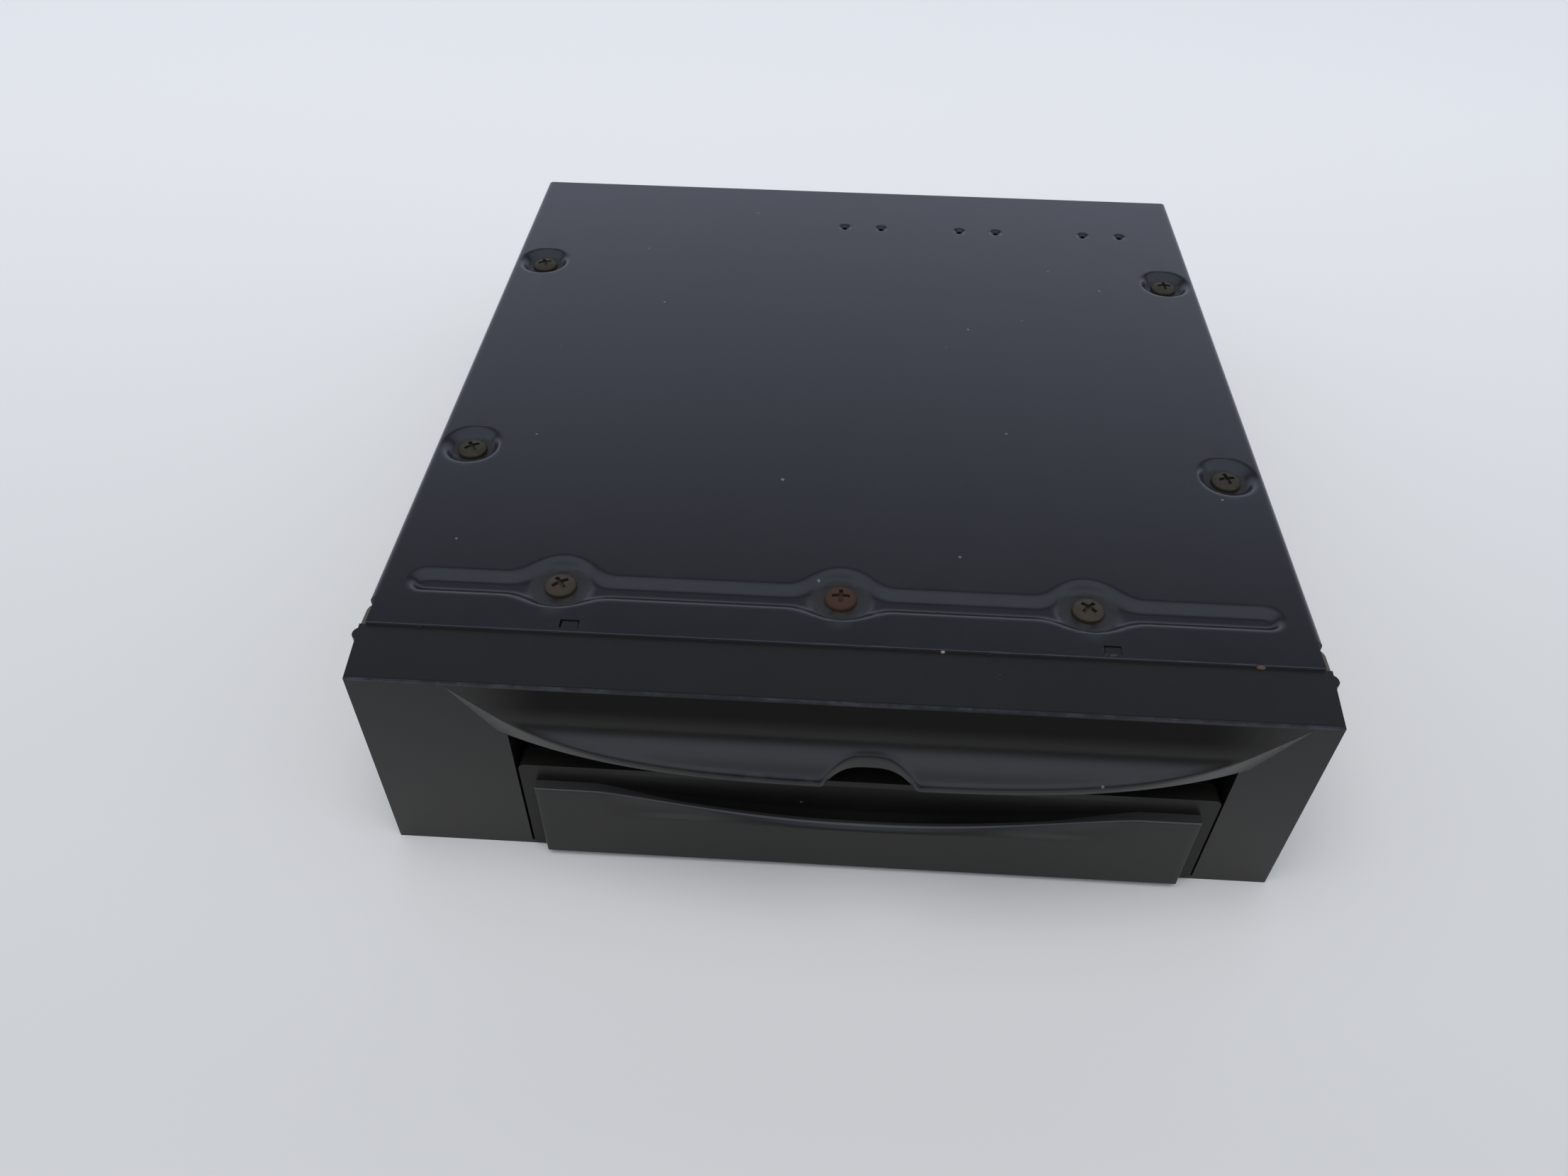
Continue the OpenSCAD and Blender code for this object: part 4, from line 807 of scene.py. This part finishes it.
def lofted(name, points, ring, worn_and_highlit=()):
    """A closed solid through sections of the same number of points, with a second material, a painted
    highlight, on some strips.
    """
    count = len(points) // ring
    faces = [list(range(ring)), [(count - 1) * ring + k for k in reversed(range(ring))]]
    for station in range(count - 1):
        for k in range(ring):
            a = station * ring + k
            b = station * ring + (k + 1) % ring
            faces.append([b, a, a + ring, b + ring])
    mesh = smooth_mesh(name, points, faces)
    work = bmesh.new()
    work.from_mesh(mesh)
    bmesh.ops.recalc_face_normals(work, faces=work.faces)
    work.to_mesh(mesh)
    work.free()
    mesh.set_sharp_from_angle(angle=math.radians(SHARP.loft))
    strips = [0, 0] + [int(k in worn_and_highlit) for _ in range(count - 1) for k in range(ring)]
    mesh.polygons.foreach_set("material_index", strips)
    return placed(name, mesh)


def lip_hollow():
    """The hollow over the lip as pairs of forward distance and height: wall, fillet, and floor to the rim."""
    back = LIP.rim + LIP.floor * LIP.reach
    forward = LIP.draft * (LIP.top - back) / (1 - LIP.draft * LIP.floor)
    corner = Vector((forward, back - LIP.floor * forward))
    down = Vector((LIP.draft, -1.0)).normalized()
    ahead = Vector((1.0, -LIP.floor)).normalized()
    turn = down.angle(ahead)
    tangent = LIP.fillet * math.tan(turn / 2)
    begin = corner - down * tangent
    middle = begin + Vector((-down.y, down.x)) * LIP.fillet
    arm = begin - middle
    turns = [turn * step / CURVE.fillet for step in range(CURVE.fillet + 1)]
    fillet = [middle + Matrix.Rotation(part, 2) @ arm for part in turns]
    return [Vector((0.0, LIP.top)), *fillet, Vector((LIP.reach, LIP.rim))]


def point_along(path, distance):
    """The point at a distance along a path."""
    for start, end in zip(path, path[1:]):
        step = (end - start).length
        if distance <= step:
            return start.lerp(end, distance / step)
        distance -= step
    return path[-1]


def lip_section(hollow, reach, roll):
    """One section of the lip, from its lower root round the foot and the rolled rim to its upper root."""
    low = LIP_LOW / MM
    inside = [point for point in hollow if point.x < reach - 1e-6]
    after = hollow[len(inside)]
    rim = inside[-1].lerp(after, (reach - inside[-1].x) / (after.x - inside[-1].x))
    path = [*inside, rim]
    run = sum((end - start).length for start, end in zip(path, path[1:]))
    bend = (rim - inside[-1]).angle(Vector((0.0, -1.0)))
    tangent = min(roll * math.tan(bend / 2), 0.45 * run, 0.7 * (rim.y - low - LIP.foot))
    radius = tangent / math.tan(bend / 2)
    middle = Vector((reach - radius, rim.y - tangent))
    foot = min(LIP.foot, 0.5 * reach)
    section = [(-LIP.root, low), (reach - foot, low), (reach, low + foot)]
    for step in range(CURVE.rim):
        turn = bend * step / CURVE.rim
        section.append(middle + radius * Vector((math.cos(turn), math.sin(turn))))
    for step in range(CURVE.hollow + 1):
        section.append(point_along(path, (run - tangent) * (1 - step / CURVE.hollow)))
    return [*section, (-LIP.root, LIP.top)]


def lip_reach(u):
    """Forward reach of the lip's rim at a distance from its middle, with the finger notch taken out."""
    reach = LIP.reach * (1 - abs(u / LIP.half) ** LIP.power)
    dip = NOTCH.deep * (1 - abs(u / NOTCH.half) ** NOTCH.power)
    blend = max(NOTCH.corner - abs(dip), 0.0) / NOTCH.corner
    return reach - max(dip, 0.0) - blend * blend * NOTCH.corner / 4


def front_lip(roll):
    """The lip over the magazine with its hollow, rolled rim and finger notch."""
    tip = LIP.tip * LIP.half
    close = [(0.0, NOTCH.half + BAND.notch, STEP.notch), *bands(both(tip - BAND.tip), BAND.tip, STEP.press)]
    hollow = lip_hollow()
    low = LIP_LOW / MM
    points = []
    for u in rulings(-tip, tip, STEP.lip, close):
        for forward, z in lip_section(hollow, lip_reach(u), roll):
            grow = 1 + LIP.spread * (z - low) / (LIP.top - low)
            points.append((NOTCH_X + u * grow * MM, BEZEL_FACE - forward * MM, z * MM))
    return lofted("front_lip", points, len(lip_section(hollow, LIP.reach, roll)))


def handle_section(u, half):
    """One section of the handle's plate: foot, face, crease, slope, edge and the pocket behind it."""
    out = min(1.0, abs(u) / SCOOP.half)
    lift = 1 - (1 - out ** SCOOP.power) ** SCOOP.ends
    crease = SCOOP.crease + SCOOP.rise * eased(out / SCOOP.rise_end)
    edge = SCOOP.crease + SCOOP.up
    edge += (HANDLE.top - edge) * lift
    slope = SCOOP.out * (1 - out ** 4) / (edge - crease)
    soft = SCOOP.soft + SCOOP.soft_ends * out ** 2
    corner = HANDLE.edge
    past = min(1.0, max(0.0, abs(u) - half + corner) / corner)
    front = HANDLE.front - corner * (1 - math.sqrt(1 - past * past))

    def face_at(z):
        above = z - crease
        bent = max(0.0, above) if abs(above) > soft else (above + soft) ** 2 / (4 * soft)
        return front - slope * bent

    low = HANDLE.low
    root = HANDLE.panel - HANDLE.root
    section = [(root, low), (front - corner, low), (front, low + corner)]
    bead = HANDLE.edge_share * corner
    start = max(low + 2 * corner, crease - soft)
    stop = edge - bead
    for step in range(CURVE.slope + 1):
        z = start + (stop - start) * step / CURVE.slope
        section.append((face_at(z), z))
    lean = face_at(edge)
    for step in range(1, CURVE.edge + 1):
        turn = math.pi / 2 / CURVE.edge * step
        section.append((lean - bead * (1 - math.cos(turn)), stop + bead * math.sin(turn)))
    ledge = max(lean - HANDLE.ledge, HANDLE.panel)
    floor = edge - SCOOP.pocket * (1 - lift) - SCOOP.below
    return [*section, (ledge, edge), (ledge - SCOOP.undercut * (1 - lift), floor), (root, floor)]


def handle_plate():
    """The handle's plate in front of the magazine's panel, with a painted highlight on its upper edge."""
    low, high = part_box("magazine_front")
    half = (high.x - low.x) / 2 / MM - HANDLE.inset
    middle = (high.x + low.x) / 2
    corner = HANDLE.edge
    ends = [half - corner * (1 - step) for step in END_STEPS]
    lines = rulings(-half + corner, half - corner, STEP.handle, [])
    run = [u for u in lines if abs(u) < half - 1.3 * corner]
    points = []
    for u in [*(-u for u in reversed(ends)), *run, *ends]:
        for forward, z in handle_section(u, half):
            points.append((middle + u * MM, BEZEL_FACE - forward * MM, z * MM))
    first = CURVE.slope + 3
    # The upper edge's strips get a painted highlight.
    worn_and_highlit = range(first, first + CURVE.edge)
    return lofted("handle_plate", points, len(handle_section(0.0, half)), worn_and_highlit)


def lumps(name, middles, size):
    """Low rounded lumps along the seam, as one mesh."""
    points = []
    faces = []
    rings = 5
    spokes = 10
    for number, middle in enumerate(middles):
        grow = (0.8 + 0.35 * math.sin(4.7 * number + 1.0)) * MM
        start = len(points)
        for ring in range(rings + 1):
            tilt = math.pi * ring / rings
            out = math.sin(tilt) + (1e-3 if ring in (0, rings) else 0.0)
            for spoke in range(spokes):
                turn = 2 * math.pi * spoke / spokes
                points.append((
                    middle * MM + grow * size[0] * out * math.cos(turn),
                    COVER_FRONT - 0.1 * MM + grow * size[1] * out * math.sin(turn),
                    BEZEL_TOP + 0.05 * MM + grow * size[2] * math.cos(tilt),
                ))
        for ring in range(rings):
            low = start + ring * spokes
            for spoke in range(spokes):
                after = (spoke + 1) % spokes
                faces.append([low + spoke, low + spokes + spoke, low + spokes + after, low + after])
        faces.append([start + spoke for spoke in range(spokes)])
        faces.append([start + rings * spokes + spoke for spoke in reversed(range(spokes))])
    return placed(name, smooth_mesh(name, points, faces))


class PLAYER_OT_works(Operator):
    """Colours the lift, the deck, the boards and the socket by their record slots"""

    bl_idname = "player.works"
    bl_label = "Works"

    def execute(self, context):
        finish = context.scene.player_works
        by_slot = {
            "steel": plain_metal("steel", finish.steel, 0.34),
            "brass": plain_metal("brass", finish.brass, 0.30),
            "white_plastic": plain_plastic("white_plastic", finish.white, 0.46, 0.5, 0.08),
            "dark_plastic": plain_plastic("dark_plastic", finish.dark, 0.50, 0.4, 0.15),
            "rubber": plain_plastic("rubber", finish.rubber, 0.80, 0.5, 0.30),
            "board": circuit_board(finish),
            "lens": clear_lens(finish),
        }
        for part in frame["record"]["subparts"]:
            if part["material_slot"] in by_slot:
                dress(part["node"], by_slot[part["material_slot"]])
        return {"FINISHED"}


class PLAYER_OT_chassis(Operator):
    """Plates the chassis and the crossbar"""

    bl_idname = "player.chassis"
    bl_label = "Chassis"

    def execute(self, context):
        plating = aged_plating(context.scene.player_case)
        for node in ("bottom_chassis", "front_crossbar"):
            dress(node, plating)
        soften(frame["nodes"]["bottom_chassis"], ROUND.chassis * MM, segments=2)
        return {"FINISHED"}


class PLAYER_OT_cover(Operator):
    """Presses and paints the folded top cover"""

    bl_idname = "player.cover"
    bl_label = "Top cover"

    def execute(self, context):
        finish = context.scene.player_case
        paint = painted_steel(finish)
        dress("top_cover", paint)
        sheet = sheet_cover(finish.press_round / MM)
        sheet.data.materials.append(paint)
        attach(sheet, "case")
        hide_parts("top_cover")
        return {"FINISHED"}


class PLAYER_OT_screws(Operator):
    """Rusts the cover's screws"""

    bl_idname = "player.screws"
    bl_label = "Screws"

    def execute(self, context):
        finish = context.scene.player_case
        dress("groove_screws", rusty_screw("screw_rust", finish.rust))
        dress("side_screws", rusty_screw("screw_dirt", finish.grime))
        return {"FINISHED"}


class PLAYER_OT_front(Operator):
    """Moulds the bezel and its lip in grained plastic, with the eject button"""

    bl_idname = "player.front"
    bl_label = "Front"

    def execute(self, context):
        finish = context.scene.player_front
        plastic = grained_plastic("front_plastic", finish, finish.plastic_rough, finish.gloss, bezel_shade_and_worn_edge)
        shell = cut_flush("front_bezel", "bezel_shell", FRONT.proud * MM)
        coat(shell.data, plastic)
        soften(shell, finish.edge_round)
        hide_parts("front_bezel")
        lip = front_lip(finish.rim_round / MM)
        lip.data.materials.append(grained_plastic(
            "lip_plastic", finish, finish.lip_rough, finish.lip_gloss, hollow_shade_and_rubbed_rim, high_in_hollow, LIP_RELIEF
        ))
        for piece in (shell, lip):
            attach(piece, "case")
        dress("front_bezel", plastic)
        dress("eject_button", plastic)
        soften(frame["nodes"]["eject_button"], finish.edge_round)
        return {"FINISHED"}


class PLAYER_OT_seam(Operator):
    """Leaves burrs and crumbs of dirt along the seam between cover and front"""

    bl_idname = "player.seam"
    bl_label = "Seam"

    def execute(self, context):
        pieces = {}
        for name, middles, size, finish, tint, rough, relief in SEAM:
            pieces[name] = lumps(name, middles, size)
            pieces[name].data.materials.append(plain_plastic(finish, tint, rough, 0.3, relief))
            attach(pieces[name], "case")
        return {"FINISHED"}


class PLAYER_OT_magazine(Operator):
    """Moulds the magazine's front with its handle, and grains its shell"""

    bl_idname = "player.magazine"
    bl_label = "Magazine"

    def execute(self, context):
        finish = context.scene.player_front
        rough = finish.plastic_rough
        plastic = grained_plastic("magazine_plastic", finish, rough, MAGAZINE_GLOSS * finish.gloss)
        for node in ("magazine_front", "magazine_base", "magazine_lid"):
            dress(node, plastic)
        panel = cut_flush("magazine_front", "magazine_panel", HANDLE.panel * MM)
        coat(panel.data, plastic)
        for piece in (frame["nodes"]["magazine_base"], frame["nodes"]["magazine_lid"], panel):
            soften(piece, ROUND.magazine * MM)
        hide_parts("magazine_front")
        plate = handle_plate()
        plate.data.materials.append(grained_plastic(
            "handle_plastic", finish, rough, HANDLE_GLOSS * finish.gloss, handle_painted_highlight
        ))
        # The handle's upper edge gets a painted highlight.
        plate.data.materials.append(plain_plastic("edge_highlight_plastic", finish.edge, 0.4, 0.3, 0.1))
        for piece in (panel, plate):
            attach(piece, "magazine")
        return {"FINISHED"}


class PLAYER_OT_trays(Operator):
    """Colours the six disc trays"""

    bl_idname = "player.trays"
    bl_label = "Trays"

    def execute(self, context):
        plastic = plain_plastic("tray_plastic", context.scene.player_front.tray, 0.42, 0.6, 0.06)
        for number in range(1, 7):
            dress(f"tray_{number}", plastic)
        return {"FINISHED"}


class PLAYER_OT_stage(Operator):
    """Lays the pale floor, sets the soft light and stands the camera where the photograph was taken"""

    bl_idname = "player.stage"
    bl_label = "Stage"

    def execute(self, context):
        look = context.scene.player_stage
        self.lay_floor(look)
        self.light_sky(context.scene, look)
        self.hang_lamp(look)
        self.stand_camera(context.scene, look)
        context.scene.view_settings.view_transform = "Standard"
        return {"FINISHED"}

    def lay_floor(self, look):
        mesh = bpy.data.meshes.new("floor")
        corners = [(-1, -1), (1, -1), (1, 1), (-1, 1)]
        mesh.from_pydata([(x * FLOOR_HALF, y * FLOOR_HALF, 0.0) for x, y in corners], [], [(0, 1, 2, 3)])
        bench = Surface("floor")
        # Painted shade: the floor is darker in front and lighter towards the back.
        depth = bench.smooth(bench.axes[1], *FLOOR_PAINTED_SHADE)
        clouds = bench.times(bench.noise(250, 3.0), 0.12)
        tone = bench.mix(clouds, bench.shades(depth, look.floor, 0.74, 1.04), solid(look.floor, 0.8))
        mesh.materials.append(bench.finish(tone, 0.55))
        placed("floor", mesh)

    def light_sky(self, scene, look):
        scene.world = bpy.data.worlds.new("sky")
        scene.world.use_nodes = True
        bench = Bench(scene.world.node_tree)
        _, y, z = bench.split(bench.add("ShaderNodeTexCoord").outputs["Generated"])
        reach = bench.math("SQRT", bench.math("ADD", bench.times(y, y), bench.times(z, z)))
        rise = bench.math("DIVIDE", z, reach)
        behind, ahead = (
            bench.ramp(rise, [(height, solid(look.sky, level)) for height, level in levels])
            for levels in (SKY_BEHIND, SKY_AHEAD)
        )
        tone = bench.mix(bench.smooth(y, -SKY_SEAM, SKY_SEAM), behind, ahead)
        background = bench.add("ShaderNodeBackground", {"Color": tone, "Strength": look.sky_level})
        bench.add("ShaderNodeOutputWorld", {"Surface": background.outputs[0]})

    def hang_lamp(self, look):
        data = bpy.data.lights.new("soft_lamp", "AREA")
        data.energy = look.lamp_watts
        data.shape = "DISK"
        data.size = LAMP.size
        lamp = placed("soft_lamp", data)
        lamp.location = LAMP.place
        lamp.visible_glossy = False
        aim = Vector(LAMP.aim) - lamp.location
        lamp.rotation_euler = aim.to_track_quat("-Z", "Y").to_euler()

    def stand_camera(self, scene, look):
        flat = math.cos(look.elevation)
        turn = look.azimuth
        back = Vector((math.sin(turn) * flat, -math.cos(turn) * flat, math.sin(look.elevation)))
        right = (-back).cross(Vector((0.0, 0.0, 1.0))).normalized()
        up = right.cross(-back)
        tilted_right = math.cos(look.roll) * right + math.sin(look.roll) * up
        tilted_up = math.cos(look.roll) * up - math.sin(look.roll) * right
        data = bpy.data.cameras.new("camera")
        data.lens = look.lens
        data.sensor_width = 36.0
        data.clip_start = 0.005
        scene.camera = placed("camera", data)
        turned = Matrix((tilted_right, tilted_up, back)).transposed().to_4x4()
        scene.camera.matrix_world = Matrix.Translation(look.eye) @ turned


class PLAYER_PT_sidebar(Panel):
    """Lists the steps and the finishes in the sidebar"""

    bl_idname = "PLAYER_PT_sidebar"
    bl_label = "Car CD Player"
    bl_space_type = "VIEW_3D"
    bl_region_type = "UI"
    bl_category = "CD Player"

    def draw(self, context):
        for step in STEPS:
            self.layout.operator(step.bl_idname)
        for name, group in GROUPS.items():
            box = self.layout.box()
            for key in group.__annotations__:
                box.prop(getattr(context.scene, name), key)


GROUPS = {
    "player_case": CaseFinish,
    "player_front": FrontFinish,
    "player_works": WorksFinish,
    "player_stage": StageLook,
}
STEPS = (
    PLAYER_OT_works, PLAYER_OT_chassis, PLAYER_OT_cover, PLAYER_OT_screws, PLAYER_OT_front, PLAYER_OT_seam,
    PLAYER_OT_magazine, PLAYER_OT_trays, PLAYER_OT_stage,
)
CLASSES = (*GROUPS.values(), *STEPS, PLAYER_PT_sidebar)


def register():
    for item in CLASSES:
        bpy.utils.register_class(item)
    for name, group in GROUPS.items():
        setattr(bpy.types.Scene, name, PointerProperty(type=group))


def unregister():
    for name in GROUPS:
        delattr(bpy.types.Scene, name)
    for item in reversed(CLASSES):
        bpy.utils.unregister_class(item)


def main():
    register()
    bpy.ops.player.works()
    bpy.ops.player.chassis()
    bpy.ops.player.cover()
    bpy.ops.player.screws()
    bpy.ops.player.front()
    bpy.ops.player.seam()
    bpy.ops.player.magazine()
    bpy.ops.player.trays()
    bpy.ops.player.stage()


if __name__ == "__main__":
    main()
